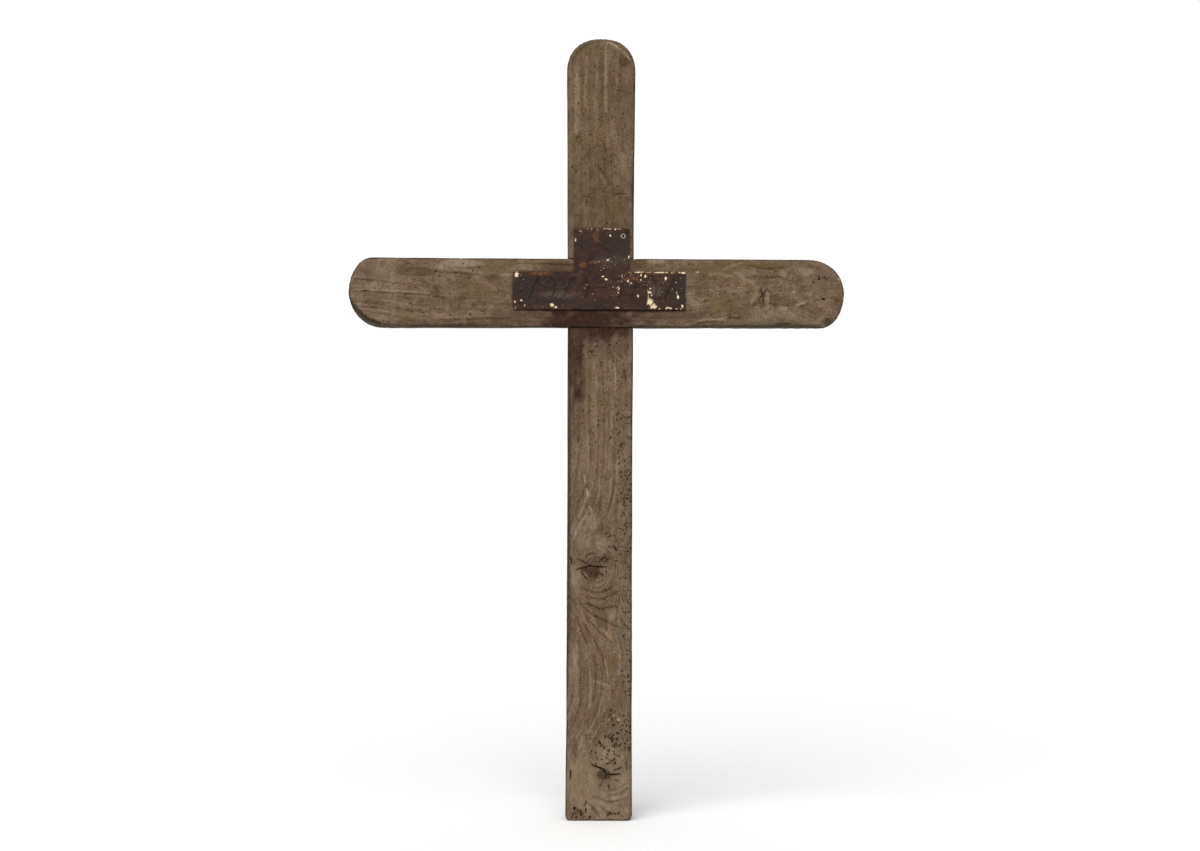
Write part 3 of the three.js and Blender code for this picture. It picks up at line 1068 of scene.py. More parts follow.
def upright_board() -> Board:
    """Describes the upright as the weather left it.

    Returns:
        The board, not built yet.
    """
    knots = [
        Knot((-5, 301), 46, 78, radius=48, squash=0.85, rings=22),
        Knot((10, 54), 42, 62, radius=50, squash=0.8, rings=20),
    ]
    cracks = [
        Crack(((-28, 301.9), (-20.8, 303.6), (-12.4, 306.2), (-5.6, 305.4), (9, 304.6)), 2.1, 3),
        Crack(((-26.3, 314.7), (-19.1, 310.9), (-15, 307.5)), 1.5, 2, 0.8),
        Crack(((-0.6, 311.8), (4.5, 315.5), (8.6, 317.7)), 1.7, 2, 0.85),
        Crack(((-0.6, 298.3), (4.5, 294.1)), 1.9, 1.5),
        Crack(((-33.9, 318), (-33.5, 306.5)), 2, 1.5),
        Crack(((-17.8, 315.9), (-15, 319.4), (-10.7, 321), (-4.6, 319.8)), 1.5, 0.7, 0.7),
        Crack(((-22.8, 301.5), (-20, 296), (-15.5, 291)), 1.4, 0.8, 0.7),
        Crack(((17.7, 329.7), (21.6, 324.7)), 1.9, 1.5),
        Crack(((9.4, 56.7), (5.2, 62.4), (-1.7, 65.1), (-9.8, 68.2)), 2.1, 3),
        Crack(((9.4, 56.7), (17.8, 56.3), (26.2, 56.7)), 2.1, 2.5),
        Crack(((9.6, 57), (7.6, 51.5)), 1.8, 1.5),
        Crack(((6.3, 66.6), (13, 70), (20.1, 75.8)), 1.5, 1),
        Crack(((17.8, 60.6), (26.9, 64.4)), 1.5, 0.8),
        Crack(((19.3, 50.2), (24.5, 47.9)), 1.5, 0.8),
        Crack(((4.1, 47.5), (0.9, 41.5)), 1.5, 0.8),
        Crack(((11.7, 44.5), (12.5, 38.5)), 1.5, 0.8),
        Crack(((-33.9, 62), (-34.3, 50)), 1.8, 1),
        Crack(((33.3, 74.2), (32.7, 61.9)), 1.6, 0.8),
        Crack(((-14.8, 24.5), (-16.9, 17.5)), 1.8, 1.5),
        Crack(((16.5, 752.7), (28.2, 752.9)), 1.7, 0.8),
        Crack(((-24, 749.4), (-13, 748.6)), 1.5, 0.5, 0.6),
        Crack(((28.5, 543), (30.5, 529)), 1.8, 0.8, 0.8),
        Crack(((-36, 592.2), (-20, 592.2)), 1.8, 0.4),
        Crack(((-16, 592.2), (0, 592.2)), 1.8, 0.4),
        Crack(((9, 592.2), (38, 592.2)), 2, 0.4),
        Crack(((7, 718), (8, 717.5)), 3, 1.5),
    ]
    worms = [
        WormZone((26, 38), (150, 420), 170, (0.6, 1.1), (0.4, 0.8)),
        WormZone((20, 38), (380, 500), 90, (0.6, 1.2), (0.4, 0.75)),
        WormZone((6, 38), (80, 135), 84, (0.6, 1.5)),
        WormZone((-12, 26), (66, 100), 44, (0.7, 1.4)),
        WormZone((6, 34), (306, 352), 40, (0.6, 1.1), (0.3, 0.7)),
        WormZone((4, 36), (262, 306), 26, (0.6, 1.1), (0.3, 0.7)),
        WormZone((-33, -10), (4, 15), 16, (0.9, 1.9)),
        WormZone((9, 24), (7, 11), 9, (0.8, 1.5)),
        WormZone((-36, 36), (740, 920), 130, (0.6, 1.0), (0.3, 0.55)),
        WormZone((-22, 28), (440, 575), 80, (0.7, 1.2), (0.3, 0.55)),
    ]
    ovals = {
        Tint.HEART: [
            ((-7, 310), (20, 9), 0.6),
            ((7, 313), (9, 8), 0.6),
            ((9, 50), (15, 14), 0.35),
            ((14, 53), (5, 6), 0.5),
        ],
        Tint.SHADE: [
            ((-7, 298), (6, 7), 0.5),
            ((-6, 58), (3, 6), 0.6),
            ((0, 742), (60, 60), 0.42),
            ((27, 914), (7, 9), 0.5),
            ((20, 880), (12, 26), 0.2),
            ((32, 745), (6, 8), 0.5),
            ((19, 189), (3.5, 11), 0.5),
            ((16.5, 19.5), (6, 4), 0.35),
            ((-23, 11), (8, 5), 0.9),
            ((-31, 8), (4, 4), 0.8),
        ],
        Tint.LICHEN: [
            ((23, 59), (6, 8), 0.7),
            ((26, 98), (15, 16), 0.6),
            ((31, 340), (5, 190), 0.35),
            ((16, 167), (6, 6), 0.7),
            ((27, 228), (5, 18), 0.6),
            ((22, 445), (5, 50), 0.4),
        ],
        Tint.RINGS: [
            ((0, 250), (60, 190), 0.2),
            ((6, 45), (60, 75), 0.4),
            ((0, 450), (60, 120), 0.12),
        ],
        Tint.FLECKS: [
            ((0, 830), (70, 130), 0.7),
        ],
        Tint.RUST: [
            ((-29, 556), (12, 84), 0.8),
            # These two: rust stain across the top of the shaft, with painted shade under the crossbar's
            # lower edge.
            ((-4, 592), (60, 18), 0.95),
            ((0, 578), (52, 26), 0.3),
        ],
        Tint.ALGAE: [
            ((0, 840), (60, 130), 0.16),
            ((-21, 927), (10, 6), 0.8),
            ((-17, 882), (11, 15), 0.5),
            ((-31, 817), (8, 7), 0.8),
            ((-5, 806), (4, 8), 0.5),
            ((12, 733), (18, 18), 0.45),
            ((35.5, 510), (5, 18), 0.7),
            ((-18, 540), (5, 36), 0.4),
            ((2, 558), (4, 6), 0.5),
            ((-1, 500), (18, 6), 0.4),
            ((-27, 470), (4, 18), 0.45),
            ((-17, 282), (6, 5), 0.6),
            ((12, 185), (4, 12), 0.9),
            ((-4, 40), (12, 9), 0.35),
            ((0, 40), (60, 70), 0.14),
            ((36, 90), (3, 80), 0.4),
        ],
        Tint.PALE: [
            ((0, 40), (60, 60), 0.36),
            ((-29, 188), (5, 36), 0.3),
            ((15, 247), (6, 9), 0.35),
            ((-9.5, 358), (7, 12), 0.3),
            ((-10, 336), (22, 14), 0.2),
            ((-28, 290), (7, 20), 0.3),
            ((24, 122), (2.6, 2.2), 1),
        ],
    }
    patches = [
        Patch(Tint.HEART, (-8.5, 304.5), (14, 14), 0.95, top=304.5, soft=(0.7, 1.0)),
        Patch(Tint.HEART, (8, 54.5), (10.5, 9), 0.95, soft=(0.55, 1.05)),
        *grouped(Patch, ovals),
    ]
    lines = {
        Tint.PALE: [
            (((0, 412), (-1, 398), (-3.5, 382)), 2.2, 0.35),
            (((13.5, 412), (12, 391), (8.5, 377)), 2.2, 0.4),
            (((21.5, 440), (20.5, 410), (19, 394), (14.5, 376), (8.5, 364)), 2.2, 0.4),
            (((-14, 392), (-19, 380), (-25, 364)), 2.2, 0.35),
            (((-9, 376), (-19, 364), (-27, 351)), 2.4, 0.35),
            (((17.5, 545), (19, 518)), 2.4, 0.3),
            (((13.5, 490), (13.5, 456)), 2.2, 0.3),
            (((-14.5, 460), (-13.5, 408)), 2.2, 0.25),
            (((-19, 416), (-16.5, 405)), 1.7, 0.8),
            (((-16.5, 399), (-14, 391)), 2.4, 1),
            (((-12, 378), (-9, 371)), 2.2, 0.8),
            (((-5.5, 358), (-5, 351)), 1.8, 0.8),
            (((-28.5, 350), (-28.5, 343)), 1.8, 0.6),
            (((-7.5, 168), (1, 166), (9.5, 163.5), (20, 160)), 1.5, 0.65),
            (((10.5, 120.5), (19, 127.5)), 1.7, 0.9),
            (((5, 928), (5, 878), (6, 850)), 4, 0.35),
            (((-28, 900), (-28.5, 866), (-30, 825)), 6, 0.35),
            (((-17.5, 918), (-18.5, 890), (-19, 858)), 3.5, 0.3),
            # Painted highlight on the lit arris round the head's upper right corner.
            (((7, 935.6), (17, 931), (24, 925.5), (30, 919.5), (35, 914)), 2, 0.9),
            (((0, 774), (6, 765)), 3.5, 0.35),
            # Painted highlight on the lit arris just above the foot's cut end.
            (((-35, 3), (0, 3), (33, 4)), 1.6, 0.5),
        ],
        Tint.SHADE: [
            (((2.5, 390), (0, 374), (-3.5, 364)), 3.5, 0.4),
            (((17, 486), (18, 452), (16, 392), (8.5, 365)), 3, 0.4),
            (((-3, 460), (-3, 396)), 3, 0.3),
            (((-4.5, 352), (-7, 340), (-8, 330)), 5, 0.4),
            (((0.5, 928), (1, 878), (0.5, 835)), 5, 0.45),
            (((-3, 787), (3.5, 776.5), (8.5, 769.5), (15, 760)), 3.6, 0.75),
            (((3, 816), (6, 802)), 3.4, 0.6),
            (((5, 743), (8.5, 736), (11.5, 728)), 2, 0.8),
            (((-13, 782.5), (-6, 775.5)), 2.4, 0.55),
        ],
        # Painted shade along the head's upper left edge and the shaft's left edge.
        Tint.GRIME: [
            (((-36, 908), (-30, 921), (-20, 931), (-8, 936)), 3, 0.5),
            (((-36.6, 588), (-36.6, 480), (-36.8, 380), (-37.4, 260), (-38, 150)), 3.2, 0.85),
        ],
        Tint.RUST: [
            (((-34.8, 300), (-34.8, 260), (-35.2, 215)), 3, 0.4),
        ],
    }
    streaks = fan_lines() + knot_arcs() + grouped(Streak, lines)
    return Board(
        node="upright",
        slot="upright_wood",
        grain=Grain.UPWARD,
        pith=(28, 52),
        lean=0.0,
        seed=7,
        ring_gap=3.7,
        triangles=(145_000, 48_000),
        knots=knots,
        cracks=cracks,
        worms=worms,
        patches=patches,
        streaks=streaks,
        blotch=0.35,
    )


def crossbar_board() -> Board:
    """Describes the crossbar as the weather left it.

    Returns:
        The board, not built yet.
    """
    knots = [Knot((-12, 200), -22, 60), Knot((20, -215), 6, 40)]
    cracks = [
        Crack(((0, -297), (1, -286), (-1, -252), (-2.5, -216), (-4.5, -202), (-5.5, -185)), 1.5, 0.8, 0.55),
        Crack(((1, -286.5), (1, -279.5)), 2.8, 1.0, 0.8),
        Crack(((16, -297), (15.5, -286.5), (14.5, -273)), 1.8, 0.8, 0.7),
        Crack(((13.5, -268), (11.5, -255), (10, -241)), 1.4, 0.5, 0.45),
        Crack(((28.5, -231), (28, -211), (24.5, -196), (24.5, -181), (23, -165), (21, -147)), 1.7, 0.6, 0.6),
        Crack(((21, -239), (20.5, -219), (20.5, -198)), 1.5, 0.5, 0.55),
        Crack(((30, -189), (29.5, -157), (30.5, -139)), 1.3, 0.5, 0.55),
        Crack(((-5, -202), (-6, -188)), 2, 0.6, 0.6),
        Crack(((34.4, -72.8), (33.3, -30.8)), 1.3, 0.8, 0.7),
        Crack(((7, 192), (-3, 195), (-12, 195.5)), 1.9, 1.0, 1.0),
        Crack(((6.5, 200.5), (-2, 195), (-9, 188.5)), 1.7, 0.8, 0.95),
        Crack(((31, 176), (33.5, 181.5), (30, 191), (30, 209), (32, 226)), 1.6, 0.6, 0.6),
        Crack(((19.5, 187), (19, 204), (21, 215), (16, 222.5), (22, 226), (27, 228.5)), 1.5, 0.6, 0.55),
        Crack(((-14, 239), (-15, 247)), 1.6, 0.6, 0.7),
        Crack(((-37, 115), (-34.5, 131), (-33.5, 141)), 2.4, 0.8, 0.65),
        Crack(((-29.5, 153), (-29, 169)), 1.7, 0.8, 0.8),
        Crack(((-2.5, 214), (-2.5, 209), (3, 201)), 1.4, 0.4, 0.5),
        # Not splits: painted shadow lines along the plate's lower edge and its left end, each cut 0.3 mm
        # into the wood.
        Crack(((-20.6, -104), (-21, -48), (-21, 12), (-21, 72), (-20.6, 102)), 3, 0.3),
        Crack(((24, -105), (0, -105.2), (-19, -105)), 1.7, 0.3, 0.8),
    ]
    worms = [
        WormZone((13, 21), (254, 273), 6, (1.1, 1.5), (0.7, 0.95)),
        WormZone((-8, -6), (267, 269), 2, (1.2, 1.5), (0.7, 0.9)),
        WormZone((22, 40), (-240, -130), 26, (0.7, 1.0), (0.3, 0.55)),
        WormZone((-30, 20), (-280, -110), 50, (0.7, 1.0), (0.2, 0.45)),
        WormZone((-30, 20), (104, 240), 70, (0.6, 1.0), (0.2, 0.5)),
    ]
    ovals = {
        Tint.RUST: [
            ((-32, -14), (26, 84), 1.0),
            ((-28, -10), (14, 60), 1.0),
            ((-24, 70), (12, 60), 0.5),
            ((-30, -104), (9, 34), 0.4),
            ((30, -44), (10, 30), 0.4),
            ((33, 42), (10, 16), 0.4),
        ],
        Tint.FLECKS: [
            ((0, -170), (60, 120), 0.5),
            ((0, 160), (60, 110), 0.6),
        ],
        Tint.ALGAE: [
            ((32, 148), (8, 42), 0.6),
            ((33, 205), (4, 26), 0.6),
            ((-16, 150), (16, 26), 0.55),
            ((0, 178), (14, 7), 0.45),
            ((14, 125), (12, 18), 0.4),
            ((33, -122), (11, 22), 0.6),
            ((21, -161), (3, 6), 0.8),
            ((0, -150), (18, 32), 0.25),
            ((36, -62), (7, 32), 0.5),
            ((26, -212), (3, 10), 0.35),
        ],
        Tint.SHADE: [
            ((24.5, -215), (4.5, 24), 0.45),
            ((18.5, -130), (4, 14), 0.5),
            ((14, -206), (5, 10), 0.4),
            ((12.5, -278), (4, 5), 0.5),
            ((-15, -171), (5, 6), 0.6),
            ((-16.5, -152), (3, 4), 0.5),
            ((3, -196.5), (8, 4), 0.4),
            ((-10, -250), (14, 40), 0.15),
            ((10, 118), (16, 14), 0.3),
            ((-10, 207), (7, 8), 0.3),
            ((-10, 234), (3, 3), 0.6),
            ((-7.5, 284), (6, 4), 0.7),
        ],
        Tint.LICHEN: [
            ((-36, 205), (5, 44), 0.8),
            ((14, 262), (12, 24), 0.35),
        ],
        # Painted shade on the right arm's lower edge.
        Tint.GRIME: [
            ((-37, 219), (3.5, 16), 0.9),
            ((-33, 273), (5, 6), 0.7),
        ],
        Tint.PALE: [
            ((26, 246), (7, 11), 0.4),
            ((23.5, 219), (5, 5), 0.35),
            ((-6, 200.5), (9, 3), 0.5),
            ((-26, 208), (6, 30), 0.2),
            ((10, -262), (24, 30), 0.2),
            ((39, 66), (4, 14), 0.6),
            ((18, 286.5), (2.5, 2), 1),
            ((25, 116), (1.4, 2.2), 1),
            ((2, 232), (1.2, 1.4), 1),
        ],
    }
    patches = [
        Patch(Tint.ALGAE, (-23, 142), (6, 8), 0.9, soft=(0.6, 1.0)),
        Patch(Tint.ALGAE, (-15, 154), (5, 9), 0.9, soft=(0.6, 1.0)),
        Patch(Tint.HEART, (28, -238.5), (8, 9), 0.5, soft=(0.4, 1.1)),
        Patch(Tint.LICHEN, (-10.5, 172), (6, 5), 0.7, soft=(0.7, 1.0)),
        Patch(Tint.LICHEN, (-5.5, 244), (5, 5), 0.5, soft=(0.7, 1.0)),
        Patch(Tint.PALE, (34, -172), (7, 30), 0.45, soft=(0.7, 1.05)),
        Patch(Tint.PALE, (-18, 220), (4, 5), 0.6, soft=(0.6, 1.0)),
        *grouped(Patch, ovals),
    ]
    lines = {
        Tint.PALE: [
            (((3.5, -293), (2.8, -270), (1.8, -240), (-0.5, -208)), 2.6, 0.5),
            (((27, -167), (23.5, -142)), 3, 0.4),
            (((21.5, -121), (21, -105)), 1.6, 0.5),
            (((28, 147), (33, 157), (36.5, 170)), 2, 0.4),
            (((24.5, 162), (17, 173), (12.5, 184), (4, 187.5), (-5.5, 184), (-14, 180)), 5, 0.3),
            (((22, 130), (23, 142), (20, 160)), 3, 0.35),
            (((-34.5, 113), (-32, 125), (-31, 141), (-28.5, 153)), 1.8, 0.5),
            (((-15, 233), (-12.5, 239.5), (-10, 247)), 1.6, 0.9),
        ],
        Tint.ALGAE: [
            (((-28.5, -247), (-32, -221)), 3, 0.6),
        ],
        Tint.SHADE: [
            (((-17.5, -289), (-18, -270), (-20, -246), (-21.5, -216)), 2, 0.45),
            (((-37, -262), (-36, -240), (-37, -190), (-37, -110)), 7, 0.5),
            (((-33, -212), (-32.5, -192), (-33, -162), (-30.5, -132), (-30.5, -106)), 2, 0.7),
        ],
        # Painted shade along the left end and both arms' lower edges; the first line is also cut 1.6 mm into
        # the corner.
        Tint.GRIME: [
            (((-11, -300), (-20, -294), (-28, -286), (-34, -277), (-38.5, -264)), 6, 1.0, 1.6),
            (((14, -301), (0, -301.5), (-14, -299)), 3, 0.6),
            (((-39, -266), (-39.6, -200), (-39.6, -110)), 2.4, 0.7),
            (((-38.5, 110), (-39, 200), (-38.5, 265)), 2.4, 0.75),
        ],
    }
    streaks = grouped(Streak, lines)
    return Board(
        node="crossbar",
        slot="crossbar_wood",
        grain=Grain.SIDEWAYS,
        pith=(18, 48),
        lean=0.05,
        seed=19,
        ring_gap=4.2,
        triangles=(120_000, 45_000),
        knots=knots,
        cracks=cracks,
        worms=worms,
        patches=patches,
        streaks=streaks,
        blotch=0.6,
        speck_gap=18.0,
    )


@dataclass(frozen=True)
class Chip:
    """A flake of paint left on the plate, faint where it has thinned."""

    place: Place
    reach: Place
    body: float = 1.0


@dataclass
class NamePlate:
    """The upside-down T of sheet iron, its stamped strokes and the last of its paint."""

    node: str = "name_plate"
    slot: str = "plate_iron"
    seed: int = 31
    face_size: float = 0.45
    triangles: tuple[int, int] = (110_000, 30_000)
    crossing: float = 634.0
    strip_top: float = 25.4
    tab_sides: Place = (-32.2, 34.6)
    stroke_row: Place = (-80.0, 83.0)
    stroke_count: int = 9
    stroke_middle: float = 5.5
    stroke_height: float = 24.0
    stroke_bow: float = 5.0
    dash_length: float = 11.0
    front_skin: float = 1.2
    paint_depth: Place = (0.9, 1.6)
    nail_dent: float = 0.35
    buckle: float = 0.35
    nail_nodes: tuple[str, ...] = NAIL_NODES
    nail_paint: tuple[float, ...] = (0.95, 1.3, 0.5, 0.4)
    chips: list[Chip] = field(
        default_factory=lambda: [
            Chip((-100.5, 655.5), (2.0, 3.1)),
            Chip((-102.5, 622.5), (1.2, 1.8), 0.9),
            Chip((-95, 624.5), (1.5, 1.1), 0.9),
            Chip((-91, 619), (0.9, 1), 0.8),
            Chip((-58, 619), (2.2, 1.8)),
            Chip((-53.5, 616.5), (1.9, 1.2)),
            Chip((-68, 617), (1.2, 0.7), 0.7),
            Chip((-16.5, 643.5), (1.8, 1), 0.65),
            Chip((6.5, 650), (1.6, 1.2)),
            Chip((3, 653.5), (1.2, 0.8), 0.8),
            Chip((34, 677), (1, 2)),
            Chip((9, 673), (1.9, 0.8), 0.9),
            Chip((11.5, 702.5), (1.1, 1.1)),
            Chip((5.5, 711), (3.4, 0.7), 0.85),
            Chip((-30, 697.5), (0.9, 1.8), 0.9),
            Chip((44, 658.6), (4.2, 0.8)),
            Chip((57, 658.6), (2.6, 0.6), 0.8),
            Chip((71, 658.3), (9, 0.7), 0.85),
            Chip((88, 658), (5, 0.6), 0.75),
            Chip((99, 658), (2.6, 1.1)),
            Chip((48.5, 654.5), (0.8, 1.5)),
            Chip((53.5, 654), (1.1, 2)),
            Chip((78, 651), (1.3, 2.4)),
            Chip((33, 647), (1.4, 1.9), 0.7),
            Chip((37, 645.5), (1.2, 0.9), 0.9),
            Chip((59.5, 639), (1.4, 1.1), 0.85),
            Chip((57, 637), (1.2, 1.1), 0.75),
            Chip((58.5, 634.5), (2.2, 1.3), 0.85),
            Chip((61.5, 631.5), (1.1, 1.7), 0.75),
            Chip((57.5, 630), (0.9, 3.2), 0.8),
            Chip((59.5, 622.5), (3.1, 3.2)),
            Chip((64, 618), (3.8, 3.2)),
            Chip((81, 616), (3.6, 0.8), 0.85),
            Chip((98, 618.5), (1.6, 2.5)),
            Chip((91.5, 634), (0.9, 1.2), 0.9),
            Chip((93, 629), (1.2, 2.2)),
            Chip((20, 616), (2.2, 1)),
            Chip((45, 630.5), (0.8, 1.6), 0.65),
        ]
    )

    def __post_init__(self) -> None:
        """Takes the plate's place from the frame, seeds its noise and draws its small flakes."""
        low, high = (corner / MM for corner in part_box(self.node))
        self.low, self.high = low, high
        self.noise = ValueNoise(self.seed)
        self.lots = np.random.default_rng(self.seed)
        self.nails = [sum(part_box(node), Vector()) / 2 / MM for node in self.nail_nodes]
        self.strip_top += self.crossing
        self.stroke_middle += self.crossing
        self.scatter_chips()

    def scatter_chips(self) -> None:
        """Draws the small flakes: rows along the edges, and loose fields on the strip and the tab."""
        rows = [
            (34, (34, 101), (self.strip_top - 1.1, self.strip_top - 0.3), (0.4, 1.1)),
            (10, (66, 101), (self.low.z + 0.6, self.low.z + 1.6), (0.4, 1.0)),
            (16, (-19, 27), (self.high.z - 1.5, self.high.z - 0.5), (0.4, 1.0)),
            (12, (-102, -40), (self.low.z + 0.8, self.low.z + 5), (0.3, 0.7)),
            (46, (22, 60), (642, 657), (0.3, 0.75)),
            (22, (14, 24), (630, 648), (0.3, 0.65)),
            (24, (70, 100), (618, 656), (0.3, 0.6)),
            (40, (-8, 33), (660, 677), (0.3, 0.6)),
            (14, (-30, 33), (660, 709), (0.2, 0.45)),
            (16, (-103.5, -92), (617, 657), (0.25, 0.5)),
            (14, (-90, 14), (620, 648), (0.2, 0.5)),
        ]
        for count, across, up, size in rows:
            for _ in range(count):
                place = (self.lots.uniform(*across), self.lots.uniform(*up))
                reach = (self.lots.uniform(*size), self.lots.uniform(*size))
                self.chips.append(Chip(place, reach, self.lots.uniform(0.5, 0.92)))

    def strokes(self) -> list[np.ndarray]:
        """Draws the stamped strokes' middle lines: bars and bows, all turned one way, and a dash.

        Returns:
            Rows of places for each stroke.
        """
        half = self.stroke_height / 2
        run = np.linspace(-1, 1, 25)
        lines = []
        for index, x in enumerate(np.linspace(*self.stroke_row, self.stroke_count)):
            if index == self.stroke_count // 2:
                line = np.column_stack((run * self.dash_length / 2, 0 * run))
            elif index % 2 == 0:
                line = np.column_stack((run * self.stroke_bow, run * half))
            else:
                line = np.column_stack(((1 - run**2) * self.stroke_bow, run * half))
            lines.append(line + (x, self.stroke_middle))
        return lines

    def stroke_distance(self, flat: np.ndarray) -> np.ndarray:
        """Gives each place's distance to the nearest stroke's middle line.

        Args:
            flat: Rows of x and z.

        Returns:
            Millimetres, no more than 20.
        """
        nearest = np.full(len(flat), 20.0)
        for line in self.strokes():
            for spot in line:
                nearest = np.minimum(nearest, np.hypot(flat[:, 0] - spot[0], flat[:, 1] - spot[1]))
        return nearest

    def edge_distance(self, flat: np.ndarray) -> np.ndarray:
        """Gives each place's distance in from the plate's outline, in millimetres."""
        x, z = flat.T
        in_strip = np.minimum.reduce((x - self.low.x, self.high.x - x, z - self.low.z, self.strip_top - z))
        tab = (x - self.tab_sides[0], self.tab_sides[1] - x, self.high.z - z, z - self.low.z)
        return np.maximum(in_strip, np.minimum.reduce(tab))

    def front_share(self, points: np.ndarray) -> np.ndarray:
        """Gives 1 for each point on the plate's front, falling to 0 behind it."""
        return 1 - ease(*self.paint_depth, points[:, 1] - self.low.y)

    def paint_share(self, points: np.ndarray) -> np.ndarray:
        """Gives how surely each spot still has paint; past about a half it has.

        Args:
            points: Rows of x, y and z.

        Returns:
            One number for each point, from 0 to 1.
        """
        flat = points[:, (0, 2)]
        total = np.zeros(len(points))
        for chip in self.chips:
            parts = np.abs((flat - chip.place) / chip.reach)
            away = 0.5 * parts.max(axis=1) + 0.35 * parts.sum(axis=1)
            total = np.maximum(total, chip.body * np.clip(1.5 - away, 0, 1))
        for nail, left in zip(self.nails, self.nail_paint):
            away = np.hypot(flat[:, 0] - nail.x, flat[:, 1] - nail.z)
            ring = left * np.clip(1.1 - np.abs(away - 2.4) / 0.6, 0, 1)
            total = np.maximum(total, ring * (0.8 + 0.5 * self.noise.at(points, (4, 50, 4))))
        front = self.front_share(points)
        ragged = 0.45 * self.noise.at(points, (1.7, 9, 1.7)) + 0.25 * self.noise.at(points, (4.5, 9, 4.5))
        return np.clip(total + ragged * (total > 0), 0, 1) * front

    def relief(self, points: np.ndarray, normals: np.ndarray) -> np.ndarray:
        """Gives how far rust, stamping and paint have moved the flat sheet's surface.

        Args:
            points: Rows of x, y and z.
            normals: The surface's outward directions there.

        Returns:
            Millimetres outwards.
        """
        flat = points[:, (0, 2)]
        front = ease(0.3, 0.9, -normals[:, 1])
        rim = 1 - normals[:, 1] ** 2
        lip = np.exp(-(((self.stroke_distance(flat) - 2.5) / 0.9) ** 2))
        height = front * (0.26 * lip + 0.2 * ease(0.42, 0.58, self.paint_share(points)))
        height += 0.12 * self.noise.at(points, (5, 5, 5)) + 0.07 * self.noise.at(points, (1.7, 1.7, 1.7))
        height -= front * 0.22 * ease(0.25, 0.8, self.noise.at(points, (3, 20, 3)))
        eaten = ease(-0.2, 0.9, self.noise.at(points, (5, 50, 5))) * 0.8
        height -= rim * (0.1 + eaten)
        for nail in self.nails:
            away = np.hypot(flat[:, 0] - nail.x, flat[:, 1] - nail.z)
            height -= front * self.nail_dent * np.exp(-((away / 5) ** 2))
        return height

    def patch(self, points: np.ndarray, spots: list[tuple[Place, Place, float]]) -> np.ndarray:
        """Gives how much of each point some oval patches cover, from 0 to 1."""
        total = np.zeros(len(points))
        ragged = 0.3 * self.noise.at(points, (7, 50, 5))
        for place, reach, strength in spots:
            away = np.linalg.norm((points[:, (0, 2)] - place) / reach, axis=1)
            total = np.maximum(total, strength * (1 - ease(0.3, 1.25, away + ragged)))
        return total

    def build(self, frame: dict) -> bpy.types.Object:
        """Makes the plate.

        Args:
            frame: What the loaded frame holds.

        Returns:
            The finished piece.
        """
        piece = Bench.copy_of(frame["nodes"][self.node], "rusted_plate")
        Bench.even_faces(piece, self.face_size)
        surface = Surface(piece)
        points = surface.points()
        normals = surface.normals()
        moved = points + normals * self.relief(points, normals)[:, None]
        moved[:, 1] -= self.buckle * (self.noise.at(points, (48, 90, 30)) + 0.6)
        surface.move_to(moved)
        Bench.thin(piece, self.low.y + self.front_skin, *self.triangles)
        self.note_rust(Surface(piece))
        Bench.smooth(piece)
        Bench.join_frame(piece, self.node, self.slot, RustedIron("rusted_plate").material())
        return piece

    def note_rust(self, surface: Surface) -> None:
        """Stores what the finish reads at every vertex.

        Args:
            surface: The shaped plate.
        """
        points = surface.points()
        flat = points[:, (0, 2)]
        front = self.front_share(points)
        orange = [
            ((-21, 667.5), (6, 3.5), 0.85),
            ((-9, 670.5), (10, 1.6), 0.5),
            ((-5.5, 701), (4, 9), 0.5),
            ((-73, 657), (16, 2), 0.75),
            ((37.5, 651), (14, 2.5), 0.35),
            ((70, 657), (30, 1.3), 0.35),
        ]
        scale = [
            ((-90.5, 637), (22, 24), 0.8),
            ((-28, 622), (56, 8), 0.6),
            ((95, 635.5), (14, 26), 0.85),
            ((66, 637), (22, 16), 0.5),
            ((23, 685.5), (18, 26), 0.6),
            ((-19, 691.5), (16, 20), 0.5),
            ((-52, 640), (34, 16), 0.4),
        ]
        # The first is a painted sheen below the strokes on the left; the others are grey dust.
        dust = [
            ((-52.5, 631.5), (28, 4), 0.5),
            ((66, 637), (9, 9), 0.55),
            ((12, 672), (22, 8), 0.3),
        ]
        edge = 1 - ease(0.4, 2.2, self.edge_distance(flat))
        rusty_edge = edge * ease(0.2, 0.7, self.noise.at(points, (9, 50, 4)))
        surface.note("paint", self.paint_share(points))
        # Painted shade in the stamped grooves.
        surface.note("stamp", front * (1 - ease(0.8, 1.7, self.stroke_distance(flat))))
        surface.note("orange", np.maximum(self.patch(points, orange), 0.5 * rusty_edge))
        surface.note("scale", self.patch(points, scale))
        surface.note("dust", self.patch(points, dust))


@dataclass(frozen=True)
class NailIron:
    """The nails' near-black rust."""

    dark: Colour = tone(34, 27, 24)
    brown: Colour = tone(74, 52, 40)

    def material(self) -> bpy.types.Material:
        """Builds the finish.

        Returns:
            The material.
        """
        sheet = NodeSheet("nail_iron")
        grain = sheet.noise((0.9, 0.9, 0.9), 4, 0.6)
        colour = sheet.mix(grain.between(-0.15, 0.3), self.dark, self.brown)
        return sheet.finish(
            Base_Color=colour,
            Metallic=0.35,
            Roughness=(0.62 + grain * 0.5).clamped(),
            Normal=sheet.bump(grain, 0.4, 0.8),
        )


